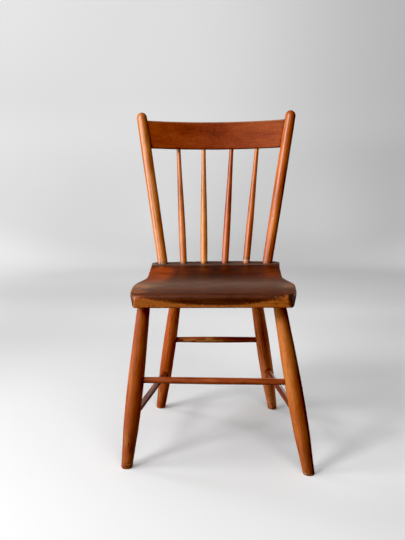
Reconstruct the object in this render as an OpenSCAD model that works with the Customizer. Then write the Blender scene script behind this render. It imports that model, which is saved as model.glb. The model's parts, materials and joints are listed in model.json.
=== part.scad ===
// Plank-seat side chair with a spindle back.
// A thick shaped plank carries four turned legs below and two round posts
// and four tapered spindles above. A bent crest rail is let into the posts.
// Every joint is a round tenon in a blind bore, or the crest rail's end in a
// mortise. The frame has racked a little with age, so the feet and the post
// tops are not quite symmetrical. +X is the sitter's left, +Y is the back.

/* [Seat] */
// Height of the seat's underside above the floor
seat_under = 400; // [390:1:410]
// Half the width of the seat across its front corners
seat_front_half = 193.5; // [190:0.5:200]
// Half the width of the seat at its widest
seat_wide_half = 199.5; // [197:0.5:206]
// Half the width of the raised back part of the seat
seat_back_half = 172; // [168:0.5:176]
// Thickness of the plank at its front edge
seat_front_t = 33; // [30:0.5:36]
// Thickness of the plank at the bottom of the dish
seat_dish_t = 26.5; // [25:0.5:28]
// Thickness of the plank at the raised back
seat_back_t = 39; // [36:0.5:42]
// How far the middle of the back edge bows out behind its corners
seat_back_bow = 15; // [5:1:20]

/* [Legs] */
// Largest diameter of a front leg
front_leg_d = 39.6; // [36:0.2:42]
// Largest diameter of a rear leg
rear_leg_d = 36.4; // [34:0.2:40]
// Diameter of a front foot at the floor
front_foot_d = 27; // [24:0.5:30]
// Diameter of a rear foot at the floor
rear_foot_d = 25.5; // [23:0.5:30]
// Sideways distance of a front foot from the middle
front_foot_x = 220.5; // [215:0.5:226]
// Distance of a front foot in front of the middle of the seat
front_foot_y = 201; // [195:0.5:206]
// Sideways distance of a rear foot from the middle
rear_foot_x = 162; // [156:0.5:168]
// Distance of a rear foot behind the middle of the seat
rear_foot_y = 222; // [215:0.5:228]

/* [Stretchers] */
// Height of the front stretcher
front_stretcher_z = 213.5; // [205:0.5:225]
// Height of the rear stretcher
rear_stretcher_z = 222; // [212:0.5:232]
// Diameter of the front and rear stretchers at the middle
cross_stretcher_d = 17.2; // [16.2:0.2:19]
// Diameter of the side stretchers at the middle
side_stretcher_d = 16.4; // [15.6:0.2:18]

/* [Back] */
// Height of the post tops above the floor
post_top_z = 845; // [832:1:865]
// Diameter of a post near its top
post_d = 28.8; // [27:0.2:31]
// Diameter of a post where it enters the seat
post_base_d = 27; // [25:0.2:29]
// How far a post top lies behind its base
post_lean = 99; // [90:1:108]
// Height of the crest rail along the posts
crest_h = 76; // [68:1:82]
// Thickness of the crest rail
crest_t = 14; // [12:0.5:16]
// How far the middle of the crest rail bows back
crest_bow = 32; // [26:1:36]
// Height of the crest rail's lower edge above the seat, along the posts
crest_z = 318.5; // [305:0.5:325]
// Largest diameter of a spindle
spindle_d = 19.2; // [17:0.2:20]
// Diameter of a spindle under the crest rail
spindle_top_d = 11.6; // [11:0.2:12.6]

/* [Hidden] */
$fn = 48;

gap = 0.1;              // radial clearance of every glued tenon
big = 1000;
seat_top = seat_under + seat_back_t;      // the ledge that holds the back

// racking: what each leg has moved from the symmetrical layout
fl_foot = [-front_foot_x + 6.5, -front_foot_y + 17, 0];
fr_foot = [front_foot_x + 6, -front_foot_y - 17, 0];
rl_foot = [-rear_foot_x - 2, rear_foot_y + 4, 0];
rr_foot = [rear_foot_x - 2, rear_foot_y - 4, 0];
fl_top = [-167, -128, seat_under];
fr_top = [157.5, -125, seat_under];
rl_top = [-99.5, 117, seat_under];
rr_top = [103, 119, seat_under];

// back: posts stand in one plane that leans back
post_y = 168.5;
post_rise = post_top_z - seat_top;
lp_base = [-144.7, post_y, seat_top];
rp_base = [141.4, post_y, seat_top];
lp_top = [-204.3, post_y + post_lean, post_top_z - 1];
rp_top = [209.8, post_y + post_lean, post_top_z + 1];
lean = atan2(post_lean, post_rise);

// crest rail: a ring about an axis in the plane of the posts' lean
crest_half = 197.5;                       // half the chord between the posts
crest_mid_x = 3;                          // the posts' middle at that height
crest_r = (crest_half * crest_half + crest_bow * crest_bow) / (2 * crest_bow);

// spindle bases on the ledge and where each meets the crest rail
spindle_base_x = [-87.9, -31.7, 25.7, 84];
spindle_crest_x = [-102.5, -32.8, 44.8, 115.3];
spindle_y = 171.2;
spindle_tenon_d = 8;

// the part's origin: middle of its box, on the floor
function slope_r(a, b, i, r) = r * sqrt(1 + pow((b[i] - a[i]) / (b[2] - a[2]), 2));
x_low = fl_foot[0] - slope_r(fl_foot, fl_top, 0, front_foot_d / 2);
x_high = fr_foot[0] + slope_r(fr_foot, fr_top, 0, front_foot_d / 2);
y_low = fr_foot[1] - slope_r(fr_foot, fr_top, 1, front_foot_d / 2);
y_high = post_y + (crest_bow + crest_t / 2) * cos(lean) + (crest_z + crest_h) * sin(lean);
origin = [(x_low + x_high) / 2, (y_low + y_high) / 2, 0];

module place() { translate(-origin) children(); }

// ---- smooth curves through a few stations [position, value] ----
function find(s, t, i = 0) = (i >= len(s) - 2 || t <= s[i + 1][0]) ? i : find(s, t, i + 1);
function tangent(s, i) = let (a = max(i - 1, 0), b = min(i + 1, len(s) - 1))
    (s[b][1] - s[a][1]) / (s[b][0] - s[a][0]);
function smooth(s, t) = let (i = find(s, t), h = s[i + 1][0] - s[i][0], u = (t - s[i][0]) / h)
    (2 * pow(u, 3) - 3 * pow(u, 2) + 1) * s[i][1] + (pow(u, 3) - 2 * pow(u, 2) + u) * h * tangent(s, i)
    + (3 * pow(u, 2) - 2 * pow(u, 3)) * s[i + 1][1] + (pow(u, 3) - pow(u, 2)) * h * tangent(s, i + 1);

// ---- placing things along a line from a to b ----
module along(a, b) {
    d = b - a;
    translate(a) rotate([0, acos(d[2] / norm(d)), atan2(d[1], d[0])]) children();
}
function at_height(a, b, z) = a + (b - a) * (z - a[2]) / (b[2] - a[2]);

// ---- legs ----
// fat below the middle, thinner at the seat and at the floor
function leg_stations(foot_d, max_d) = [[0, foot_d], [0.12, foot_d + (max_d - foot_d) * 0.4],
    [0.25, foot_d + (max_d - foot_d) * 0.84], [0.42, max_d], [0.6, max_d * 0.975],
    [0.8, max_d * 0.87], [0.985, max_d * 0.77], [1, max_d * 0.77]];
leg_end_l = 15;                           // depth of a leg in the seat, along its axis
function leg_end_r(max_d) = max_d * 0.385;

// straight top end that goes into the seat
module leg(foot, top, foot_d, max_d) {
    extra = 8;                            // the turning is cut flat on the floor
    l = norm(top - foot);
    s = leg_stations(foot_d, max_d);
    intersection() {
        along(foot, top) rotate([0, 0, 40]) rotate_extrude()
            polygon(concat([[0, -extra], [foot_d / 2, -extra]], [for (i = [0:19]) [smooth(s, i / 20) / 2, l * i / 20]],
                [[leg_end_r(max_d), l - 6], [leg_end_r(max_d), l + leg_end_l], [0, l + leg_end_l]]));
        translate([-big / 2, -big / 2, 0]) cube([big, big, big]);
    }
}
module leg_bore(foot, top, max_d) {
    d = (top - foot) / norm(top - foot);
    along(top - d * 12, top) rotate([0, 0, 60]) cylinder(r = leg_end_r(max_d) + gap, h = 12 + leg_end_l + 0.5);
}

// ---- stretchers ----
rung_end_d = 15;                          // a rung's ends go into the legs' bores
fl_front = at_height(fl_foot, fl_top, front_stretcher_z);
fr_front = at_height(fr_foot, fr_top, front_stretcher_z);
rl_rear = at_height(rl_foot, rl_top, rear_stretcher_z);
rr_rear = at_height(rr_foot, rr_top, rear_stretcher_z);
fl_side = at_height(fl_foot, fl_top, 120.5);
rl_side = at_height(rl_foot, rl_top, 116.5);
fr_side = at_height(fr_foot, fr_top, 131.5);
rr_side = at_height(rr_foot, rr_top, 127);

module rung(a, b, d) {
    l = norm(b - a);
    e = 26;                               // plain ends, longer than the bores
    s = [[0, rung_end_d], [0.12, rung_end_d + (d - rung_end_d) * 0.45], [0.5, d],
         [0.88, rung_end_d + (d - rung_end_d) * 0.45], [1, rung_end_d]];
    along(a, b) rotate_extrude()
        polygon(concat([[0, 0], [rung_end_d / 2, 0]],
            [for (i = [0:14]) [smooth(s, i / 14) / 2, e + (l - 2 * e) * i / 14]],
            [[rung_end_d / 2, l], [0, l]]));
}
// blind bore in the leg at a for a rung that runs to b
module rung_bore(a, b) {
    d = (b - a) / norm(b - a);
    along(a - d * 1.2, b) cylinder(d = rung_end_d + 2 * gap, h = 40);
}

module front_left_leg() {
    color("#9a4a1c") place() difference() {
        leg(fl_foot, fl_top, front_foot_d, front_leg_d);
        rung_bore(fl_front, fr_front);
        rung_bore(fl_side, rl_side);
        // worn corner of the foot
        translate(fl_foot + [-17, -13, -1]) rotate([0, 35, 20]) cube([12, 12, 8], center = true);
    }
}
module front_right_leg() {
    color("#94461b") place() difference() {
        leg(fr_foot, fr_top, front_foot_d, front_leg_d * 1.02);
        rung_bore(fr_front, fl_front);
        rung_bore(fr_side, rr_side);
        translate(fr_foot + [-16, -11, 0]) rotate([0, 40, -10]) cube([12, 12, 7], center = true);
    }
}
module rear_left_leg() {
    color("#8f431b") place() difference() {
        leg(rl_foot, rl_top, rear_foot_d, rear_leg_d * 0.98);
        rung_bore(rl_rear, rr_rear);
        rung_bore(rl_side, fl_side);
    }
}
module rear_right_leg() {
    color("#7d4422") place() difference() {
        leg(rr_foot, rr_top, rear_foot_d, rear_leg_d * 1.02);
        rung_bore(rr_rear, rl_rear);
        rung_bore(rr_side, fr_side);
    }
}
module front_stretcher() { color("#a04d1d") place() rung(fl_front, fr_front, cross_stretcher_d); }
module rear_stretcher() { color("#8c4019") place() rung(rl_rear, rr_rear, cross_stretcher_d); }
module left_stretcher() { color("#8c4019") place() rung(fl_side, rl_side, side_stretcher_d); }
module right_stretcher() { color("#8c4019") place() rung(fr_side, rr_side, side_stretcher_d); }

// ---- seat ----
front_y = -190;                           // front edge of the top
corner_y = 182;                           // rear corners
// half width against distance from the front
edge_stations = [[-178, seat_front_half], [-140, seat_front_half + 4], [-95, seat_wide_half],
                 [-55, seat_wide_half - 0.5], [-30, seat_wide_half - 7], [-8, seat_back_half + 10],
                 [18, seat_back_half + 1.5], [60, seat_back_half], [120, seat_back_half],
                 [corner_y, seat_back_half + 2.5]];
corner_r = 15;
side_points = [for (i = [0:30]) let (y = -174 + (corner_y + 174) * i / 30) [smooth(edge_stations, y), y]];
// front corner as an arc, front edge almost straight
corner_points = [for (i = [0:6]) let (a = -90 + 88 * i / 6)
    [seat_front_half - corner_r + corner_r * cos(a), front_y + corner_r + corner_r * sin(a)]];
half_edge = concat(corner_points, [for (p = side_points) if (p[1] > front_y + corner_r + 2) p]);
back_points = [for (i = [1:11]) let (x = (seat_back_half - 2) * (1 - i / 6))
    [x, corner_y + seat_back_bow * (1 - pow(x / seat_back_half, 2))]];
other_edge = [for (i = [len(half_edge) - 1:-1:0]) [-half_edge[i][0], half_edge[i][1]]];

// top of the plank from front to back: rolled front, dish, rise, flat ledge
top_stations = [[-178, seat_front_t], [-150, seat_front_t - 3], [-110, seat_dish_t + 1], [-70, seat_dish_t],
                [-25, seat_dish_t + 0.5], [15, seat_dish_t + 2.8], [55, seat_dish_t + 6.5],
                [95, seat_back_t - 2.5], [134, seat_back_t]];
top_points = concat(
    [for (i = [0:5]) let (a = 175 - 85 * i / 5) [-182 + 7.5 * cos(a), seat_under + seat_front_t - 7.5 + 7.5 * sin(a)]],
    [for (i = [1:26]) let (y = -178 + 312 * i / 26) [y, seat_under + smooth(top_stations, y)]]);

module seat_blank() {
    intersection() {
        translate([0, 0, seat_under]) linear_extrude(height = 60)
            polygon(concat(half_edge, back_points, other_edge));
        rotate([90, 0, 90]) translate([0, 0, -250]) linear_extrude(height = 500)
            polygon(concat([[-183.5, seat_under], [-185, seat_under + 1.5]], top_points,
                [[200, seat_top], [203, seat_top - 2], [201, seat_under + 1], [200, seat_under]]));
        // the sides lean in towards the underside
        rotate([90, 0, 0]) translate([0, 0, -250]) linear_extrude(height = 500)
            polygon([[-seat_wide_half + 7, seat_under - 1], [seat_wide_half - 7, seat_under - 1],
                     [seat_wide_half + 1, seat_under + 24], [seat_wide_half + 1, seat_top + 9],
                     [-seat_wide_half - 1, seat_top + 9], [-seat_wide_half - 1, seat_under + 24]]);
    }
}
module seat() {
    color("#5a2613") place() difference() {
        seat_blank();
        leg_bore(fl_foot, fl_top, front_leg_d);
        leg_bore(fr_foot, fr_top, front_leg_d * 1.02);
        leg_bore(rl_foot, rl_top, rear_leg_d * 0.98);
        leg_bore(rr_foot, rr_top, rear_leg_d * 1.02);
        post_bore(lp_base, lp_top);
        post_bore(rp_base, rp_top);
        spindle_bore(spindle_base(0), spindle_crest(0));
        spindle_bore(spindle_base(1), spindle_crest(1));
        spindle_bore(spindle_base(2), spindle_crest(2));
        spindle_bore(spindle_base(3), spindle_crest(3));
        // knock in the front edge
        translate([-120, front_y + 1, seat_under + seat_front_t - 1]) rotate([0, 0, 45]) cube([4.5, 4.5, 7], center = true);
    }
}

// ---- back ----
post_end_l = 20;                          // depth of a post in the seat
module post(a, b) {
    l = norm(b - a);
    r = post_d / 2;
    s = [[0, post_base_d], [0.2, post_base_d + 0.9], [0.5, post_d + 0.2], [0.8, post_d + 0.1], [1, post_d]];
    difference() {
        along(a, b) rotate_extrude()
            polygon(concat([[0, -post_end_l], [post_base_d / 2, -post_end_l], [post_base_d / 2, 4]],
                [for (i = [1:14]) [i == 14 ? r : smooth(s, i / 14) / 2, (l - r) * i / 14]],
                [for (i = [1:7]) [r * cos(90 * i / 8), l - r + r * sin(90 * i / 8)]], [[0, l]]));
        crest_blank(gap);
    }
}
module post_bore(a, b) {
    d = (b - a) / norm(b - a);
    along(a - d * (post_end_l + 0.5), b) rotate([0, 0, 75]) cylinder(d = post_base_d + 2 * gap, h = post_end_l + 12);
}
module left_post() { color("#b06024") place() post(lp_base, lp_top); }
module right_post() { color("#b06024") place() post(rp_base, rp_top); }

// frame of the back: x across, y out of the plane of the posts, z up along it
module back_frame() { translate([0, post_y, seat_top]) rotate([-lean, 0, 0]) children(); }
function back_to_part(p) = [p[0], post_y + p[1] * cos(lean) + p[2] * sin(lean),
                            seat_top - p[1] * sin(lean) + p[2] * cos(lean)];

// x of a post's axis at height z along the posts
function post_x(base, top, z) = base[0] + (top[0] - base[0]) * z * cos(lean) / (top[2] - base[2]);

// the board, made g larger all round to cut its mortises
module crest_blank(g) {
    z0 = crest_z;
    z1 = crest_z + crest_h;
    past = 3;                             // how far the ends run past the posts' axes
    back_frame() intersection() {
        translate([crest_mid_x, crest_bow - crest_r, z0 - g]) difference() {
            cylinder(r = crest_r + crest_t / 2 + g, h = crest_h + 2 * g, $fn = 180);
            translate([0, 0, -1]) cylinder(r = crest_r - crest_t / 2 - g, h = crest_h + 2 * g + 2, $fn = 180);
        }
        rotate([90, 0, 0]) translate([0, 0, -100]) linear_extrude(height = 200)
            polygon([[post_x(lp_base, lp_top, z0 - 20) - past - g * 4, z0 - 20],
                     [post_x(rp_base, rp_top, z0 - 20) + past + g * 4, z0 - 20],
                     [post_x(rp_base, rp_top, z1 + 20) + past + g * 4, z1 + 20],
                     [post_x(lp_base, lp_top, z1 + 20) - past - g * 4, z1 + 20]]);
    }
}
module crest_rail() {
    color("#70300f") place() difference() {
        crest_blank(0);
        crest_bore(spindle_base(0), spindle_crest(0));
        crest_bore(spindle_base(1), spindle_crest(1));
        crest_bore(spindle_base(2), spindle_crest(2));
        crest_bore(spindle_base(3), spindle_crest(3));
    }
}

function crest_y(x) = crest_bow - crest_r + sqrt(pow(crest_r, 2) - pow(x - crest_mid_x, 2));
function spindle_base(i) = [spindle_base_x[i], spindle_y, seat_top];
function spindle_crest(i) = back_to_part([spindle_crest_x[i], crest_y(spindle_crest_x[i]), crest_z]);
spindle_foot_l = 16;                      // depth of a spindle in the seat
spindle_head_l = 13;                      // length of its tenon in the crest rail
function spindle_foot_d() = spindle_d * 0.96;

module spindle(a, b) {
    l = norm(b - a);
    s = [[0, spindle_foot_d()], [0.15, spindle_d], [0.35, spindle_d * 0.97], [0.6, spindle_top_d + (spindle_d - spindle_top_d) * 0.56],
         [0.8, spindle_top_d + (spindle_d - spindle_top_d) * 0.2], [1, spindle_top_d]];
    h = l - 1.1;                          // the shoulder just clears the sloping edge
    along(a, b) rotate_extrude()
        polygon(concat([[0, -spindle_foot_l], [spindle_foot_d() / 2, -spindle_foot_l], [spindle_foot_d() / 2, 3]],
            [for (i = [1:16]) [smooth(s, i / 16) / 2, h * i / 16]],
            [[spindle_tenon_d / 2, h], [spindle_tenon_d / 2, l + spindle_head_l], [0, l + spindle_head_l]]));
}
module spindle_bore(a, b) {
    d = (b - a) / norm(b - a);
    along(a - d * (spindle_foot_l + 0.5), b) rotate([0, 0, 75]) cylinder(d = spindle_foot_d() + 2 * gap, h = spindle_foot_l + 8);
}
module crest_bore(a, b) {
    d = (b - a) / norm(b - a);
    along(b - d * 8, b + d) cylinder(d = spindle_tenon_d + 2 * gap, h = spindle_head_l + 8.5);
}
module spindle_1() { color("#a5502b") place() spindle(spindle_base(0), spindle_crest(0)); }
module spindle_2() { color("#bf7430") place() spindle(spindle_base(1), spindle_crest(1)); }
module spindle_3() { color("#a04a26") place() spindle(spindle_base(2), spindle_crest(2)); }
module spindle_4() { color("#b06024") place() spindle(spindle_base(3), spindle_crest(3)); }

seat();
front_left_leg();
front_right_leg();
rear_left_leg();
rear_right_leg();
front_stretcher();
rear_stretcher();
left_stretcher();
right_stretcher();
left_post();
right_post();
crest_rail();
spindle_1();
spindle_2();
spindle_3();
spindle_4();
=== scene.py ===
import json
import math

import bmesh
import bpy
import numpy as np
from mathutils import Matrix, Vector

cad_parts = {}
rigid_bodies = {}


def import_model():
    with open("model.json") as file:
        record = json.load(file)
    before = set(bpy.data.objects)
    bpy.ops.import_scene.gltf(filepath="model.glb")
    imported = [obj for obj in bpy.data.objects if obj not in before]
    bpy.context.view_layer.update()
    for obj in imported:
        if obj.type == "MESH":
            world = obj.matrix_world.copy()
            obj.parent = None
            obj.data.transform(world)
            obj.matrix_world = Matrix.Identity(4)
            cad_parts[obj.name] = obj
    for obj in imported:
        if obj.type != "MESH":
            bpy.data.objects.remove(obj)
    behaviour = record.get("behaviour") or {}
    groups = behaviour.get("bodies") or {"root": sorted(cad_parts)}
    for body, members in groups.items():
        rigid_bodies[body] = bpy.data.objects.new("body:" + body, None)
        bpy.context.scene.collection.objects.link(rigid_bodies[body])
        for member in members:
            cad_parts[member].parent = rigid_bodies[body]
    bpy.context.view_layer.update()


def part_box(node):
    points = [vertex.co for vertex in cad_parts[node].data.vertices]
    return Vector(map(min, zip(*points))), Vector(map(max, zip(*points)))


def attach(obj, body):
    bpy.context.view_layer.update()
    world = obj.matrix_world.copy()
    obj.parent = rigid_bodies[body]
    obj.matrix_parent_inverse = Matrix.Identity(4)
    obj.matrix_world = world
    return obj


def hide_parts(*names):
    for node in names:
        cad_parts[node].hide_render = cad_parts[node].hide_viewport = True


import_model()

# The layout below is in millimetres, with z = 0 on the floor, before the shift
# that puts the middle of the chair's box on the origin. It repeats part.scad.
ORIGIN = np.array([6.30325, 33.9936, 0.0])


def V(*a):
    return np.array(a, float)


def unit(a):
    return a / np.linalg.norm(a)


def sstep(lo, hi, x):
    t = np.clip((x - lo) / (hi - lo), 0.0, 1.0)
    return t * t * (3.0 - 2.0 * t)


def smooth(stations, t):
    """The same cubic through stations as in the CAD source."""
    s = np.array(stations, float)
    x, y = s[:, 0], s[:, 1]
    m = np.empty_like(y)
    m[1:-1] = (y[2:] - y[:-2]) / (x[2:] - x[:-2])
    m[0] = (y[1] - y[0]) / (x[1] - x[0])
    m[-1] = (y[-1] - y[-2]) / (x[-1] - x[-2])
    t = np.clip(np.asarray(t, float), x[0], x[-1])
    i = np.clip(np.searchsorted(x, t, side="left") - 1, 0, len(x) - 2)
    h = x[i + 1] - x[i]
    u = (t - x[i]) / h
    return ((2 * u**3 - 3 * u**2 + 1) * y[i] + (u**3 - 2 * u**2 + u) * h * m[i]
            + (3 * u**2 - 2 * u**3) * y[i + 1] + (u**3 - u**2) * h * m[i + 1])


# ---- seeded noise on points ----
def _hash(ix, iy, iz, seed):
    h = (ix * 374761393 + iy * 668265263 + iz * 1440662683 + seed * 974634777) & 0xFFFFFFFF
    h = ((h ^ (h >> 13)) * 1274126177) & 0xFFFFFFFF
    h = ((h ^ (h >> 15)) * 668265263) & 0xFFFFFFFF
    h = (h ^ (h >> 16)) & 0xFFFFFFFF
    return h.astype(float) / 2147483647.5 - 1.0


def noise(p, size, seed=0):
    """Smooth noise in -1..1 with cells of that size in mm. size may be a 3-vector."""
    q = np.asarray(p, float) / np.asarray(size, float)
    b = np.floor(q)
    f = q - b
    f = f * f * f * (f * (f * 6 - 15) + 10)
    b = b.astype(np.int64)
    out = 0.0
    for dx in (0, 1):
        wx = f[:, 0] if dx else 1 - f[:, 0]
        for dy in (0, 1):
            wy = f[:, 1] if dy else 1 - f[:, 1]
            for dz in (0, 1):
                wz = f[:, 2] if dz else 1 - f[:, 2]
                out = out + wx * wy * wz * _hash(b[:, 0] + dx, b[:, 1] + dy, b[:, 2] + dz, seed)
    return out


def fbm(p, size, seed=0, octaves=3):
    out, a, s = 0.0, 1.0, np.asarray(size, float)
    total = 0.0
    for k in range(octaves):
        out = out + a * noise(p, s, seed + 17 * k)
        total += a
        a *= 0.5
        s = s * 0.5
    return out / total


def near(p, c, r0, r1):
    """1 within r0 of c, falling to 0 at r1."""
    return 1.0 - sstep(r0, r1, np.linalg.norm(p - np.asarray(c, float), axis=1))


def near_line(p, a, b, r0, r1):
    a, b = np.asarray(a, float), np.asarray(b, float)
    d = b - a
    t = np.clip(((p - a) @ d) / (d @ d), 0, 1)
    return 1.0 - sstep(r0, r1, np.linalg.norm(p - (a + t[:, None] * d), axis=1))


# ---- meshes ----
def make_object(name, points_mm, faces):
    me = bpy.data.meshes.new(name)
    co = (np.asarray(points_mm, float) - ORIGIN) * 0.001
    me.from_pydata(co.tolist(), [], faces)
    me.validate()
    me.update()
    ob = bpy.data.objects.new(name, me)
    bpy.context.scene.collection.objects.link(ob)
    return ob


def points_of(ob):
    co = np.empty(len(ob.data.vertices) * 3, np.float32)
    ob.data.vertices.foreach_get("co", co)
    return co.reshape(-1, 3).astype(float) * 1000.0 + ORIGIN


def cut(ob, cutters):
    """Takes closed cutters out of ob and removes them."""
    for c in cutters:
        m = ob.modifiers.new("cut", "BOOLEAN")
        m.operation = "DIFFERENCE"
        m.object = c
        try:
            m.solver = "MANIFOLD"
        except TypeError:
            m.solver = "EXACT"
    bpy.context.view_layer.update()
    dg = bpy.context.evaluated_depsgraph_get()
    me = bpy.data.meshes.new_from_object(ob.evaluated_get(dg))
    old = ob.data
    ob.modifiers.clear()
    ob.data = me
    me.name = old.name
    bpy.data.meshes.remove(old)
    for c in cutters:
        d = c.data
        bpy.data.objects.remove(c)
        bpy.data.meshes.remove(d)


def frame_of(a, b):
    w = unit(b - a)
    u = unit(V(1, 0, 0) - w * w[0])
    return u, np.cross(w, u), w


def bore(a, b, r, n=40):
    """A closed cylinder from a to b, to cut a blind bore."""
    u, v, w = frame_of(a, b)
    th = np.arange(n) * 2 * math.pi / n + 0.05
    ring = np.outer(np.cos(th), u) + np.outer(np.sin(th), v)
    pts = np.vstack([a + ring * r, b + ring * r, [a], [b]])
    faces = []
    for i in range(n):
        j = (i + 1) % n
        faces += [(i, j, n + j, n + i), (2 * n, j, i), (2 * n + 1, n + i, n + j)]
    return make_object("cutter", pts, faces)


def rings(a, b, levels, radius, nseg, seat_plane=None, cap_rings=5):
    """Closed surface round the axis a to b.

    levels: positions along the axis in mm from a. radius(t, theta, p) gives the radius.
    seat_plane: with (z, blend length), the first ring lies on that level plane and the
    next ones blend into rings square to the axis.
    """
    u, v, w = frame_of(a, b)
    th = np.arange(nseg) * 2 * math.pi / nseg
    ring = np.outer(np.cos(th), u) + np.outer(np.sin(th), v)
    levels = np.asarray(levels, float)
    rows = []
    for t in levels:
        tt = np.full(nseg, t)
        if seat_plane is not None:
            z0, reach = seat_plane
            r0 = radius(np.full(nseg, levels[0]), th, a + ring * 10)
            flat = -((a[2] - z0) + ring[:, 2] * r0) / w[2]
            k = np.clip(1 - (t - levels[0]) / reach, 0, 1)
            tt = t + (flat - levels[0]) * k
        p = a + np.outer(tt, w) + ring * 10
        r = radius(tt, th, p)
        rows.append(a + np.outer(tt, w) + ring * r[:, None])
    pts = [np.vstack(rows)]
    n = len(levels)
    faces = []
    for k in range(n - 1):
        for i in range(nseg):
            j = (i + 1) % nseg
            faces.append((k * nseg + i, k * nseg + j, (k + 1) * nseg + j, (k + 1) * nseg + i))
    base = n * nseg
    for end, row in ((0, rows[0]), (1, rows[-1])):
        c = row.mean(0)
        prev = 0 if end == 0 else (n - 1) * nseg
        for q in range(1, cap_rings):
            s = 1 - q / cap_rings
            pts.append(c + (row - c) * s)
            for i in range(nseg):
                j = (i + 1) % nseg
                f = (prev + i, base + i, base + j, prev + j)
                faces.append(f if end == 0 else f[::-1])
            prev = base
            base += nseg
        pts.append(c[None, :])
        for i in range(nseg):
            j = (i + 1) % nseg
            f = (prev + i, base, prev + j)
            faces.append(f if end == 0 else f[::-1])
        base += 1
    return np.vstack(pts), faces


def spread(*parts):
    """Joins runs (start, stop, step) into one rising list of levels."""
    out = []
    for lo, hi, step in parts:
        n = max(1, int(round((hi - lo) / step)))
        out += list(np.linspace(lo, hi, n, endpoint=False))
    out.append(parts[-1][1])
    return np.array(out)


def clip_planes(p, planes):
    """Presses points back to each plane (point, outward normal, roughness, seed). Returns points and how deep each was cut."""
    depth = np.zeros(len(p))
    for c, nrm, rough, seed in planes:
        nrm = unit(np.asarray(nrm, float))
        d = (p - np.asarray(c, float)) @ nrm
        d = d + rough * (fbm(p, (5.0, 5.0, 5.0), seed, 3) + 0.35 * noise(p, 1.3, seed + 5))
        over = np.maximum(d, 0)
        p = p - over[:, None] * nrm
        depth = np.maximum(depth, over)
    return p, depth


# ---- where everything is ----
SEAT_UNDER, SEAT_TOP = 400.0, 439.0
LEG = {
    "front_left_leg": (V(-214, -184, 0), V(-167, -128, 400), 27.0, 39.6),
    "front_right_leg": (V(226.5, -218, 0), V(157.5, -125, 400), 27.0, 39.6 * 1.02),
    "rear_left_leg": (V(-164, 226, 0), V(-99.5, 117, 400), 25.5, 36.4 * 0.98),
    "rear_right_leg": (V(160, 218, 0), V(103, 119, 400), 25.5, 36.4 * 1.02),
}


def at_height(leg, z):
    a, b = LEG[leg][0], LEG[leg][1]
    return a + (b - a) * (z - a[2]) / (b[2] - a[2])


RUNG = {
    "front_stretcher": (at_height("front_left_leg", 213.5), at_height("front_right_leg", 213.5), 17.2),
    "rear_stretcher": (at_height("rear_left_leg", 222.0), at_height("rear_right_leg", 222.0), 17.2),
    "left_stretcher": (at_height("front_left_leg", 120.5), at_height("rear_left_leg", 116.5), 16.4),
    "right_stretcher": (at_height("front_right_leg", 131.5), at_height("rear_right_leg", 127.0), 16.4),
}
RUNG_ENDS = {
    "front_left_leg": ("front_stretcher", "left_stretcher"),
    "front_right_leg": ("front_stretcher", "right_stretcher"),
    "rear_left_leg": ("rear_stretcher", "left_stretcher"),
    "rear_right_leg": ("rear_stretcher", "right_stretcher"),
}
POST = {
    "left_post": (V(-144.7, 168.5, SEAT_TOP), V(-204.3, 267.5, 844)),
    "right_post": (V(141.4, 168.5, SEAT_TOP), V(209.8, 267.5, 846)),
}
LEAN = math.atan2(99.0, 845.0 - SEAT_TOP)
CREST_BOW, CREST_T, CREST_Z, CREST_H = 32.0, 14.0, 318.5, 76.0
CREST_R = (197.5**2 + CREST_BOW**2) / (2 * CREST_BOW)


def back_to_chair(q):
    """From the frame of the back (x, out of the posts' plane, up along it)."""
    q = np.atleast_2d(q)
    c, s = math.cos(LEAN), math.sin(LEAN)
    return np.column_stack([q[:, 0], 168.5 + q[:, 1] * c + q[:, 2] * s, SEAT_TOP - q[:, 1] * s + q[:, 2] * c])


def chair_to_back(p):
    c, s = math.cos(LEAN), math.sin(LEAN)
    y, z = p[:, 1] - 168.5, p[:, 2] - SEAT_TOP
    return np.column_stack([p[:, 0], y * c - z * s, y * s + z * c])


def crest_mid_y(x):
    return CREST_BOW - CREST_R + np.sqrt(CREST_R**2 - (x - 3.0) ** 2)


SP_BASE = [-87.9, -31.7, 25.7, 84.0]
SP_TOP = [-102.5, -32.8, 44.8, 115.3]
SPINDLE = {
    "spindle_%d" % (i + 1): (V(SP_BASE[i], 171.2, SEAT_TOP),
                             back_to_chair(V(SP_TOP[i], crest_mid_y(SP_TOP[i]), CREST_Z))[0])
    for i in range(4)
}

# ---- camera first ----
cam_data = bpy.data.cameras.new("camera")
cam = bpy.data.objects.new("camera", cam_data)
bpy.context.scene.collection.objects.link(cam)
cam_data.sensor_width = 36.0
cam_data.lens = 845.8 / 540.0 * 36.0
cam_data.clip_start, cam_data.clip_end = 0.05, 100.0
yaw, pitch, roll = -0.0356, 0.2012, -0.0112
fwd = V(math.sin(yaw) * math.cos(pitch), math.cos(yaw) * math.cos(pitch), -math.sin(pitch))
right = V(math.cos(yaw), -math.sin(yaw), 0)
up = np.cross(right, fwd)
r2 = math.cos(roll) * right + math.sin(roll) * up
u2 = -math.sin(roll) * right + math.cos(roll) * up
from mathutils import Matrix
m = Matrix.Identity(4)
for i in range(3):
    m[i][0], m[i][1], m[i][2] = r2[i], u2[i], -fwd[i]
loc = (V(45.0, -2105.9, 883.4) - ORIGIN) * 0.001
m[0][3], m[1][3], m[2][3] = loc
cam.matrix_world = m
bpy.context.scene.camera = cam


# ---- materials ----
def lin(r, g, b):
    out = []
    for c in (r, g, b):
        c = c / 255.0
        out.append(c / 12.92 if c <= 0.04045 else ((c + 0.055) / 1.055) ** 2.4)
    return (*out, 1.0)


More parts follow.
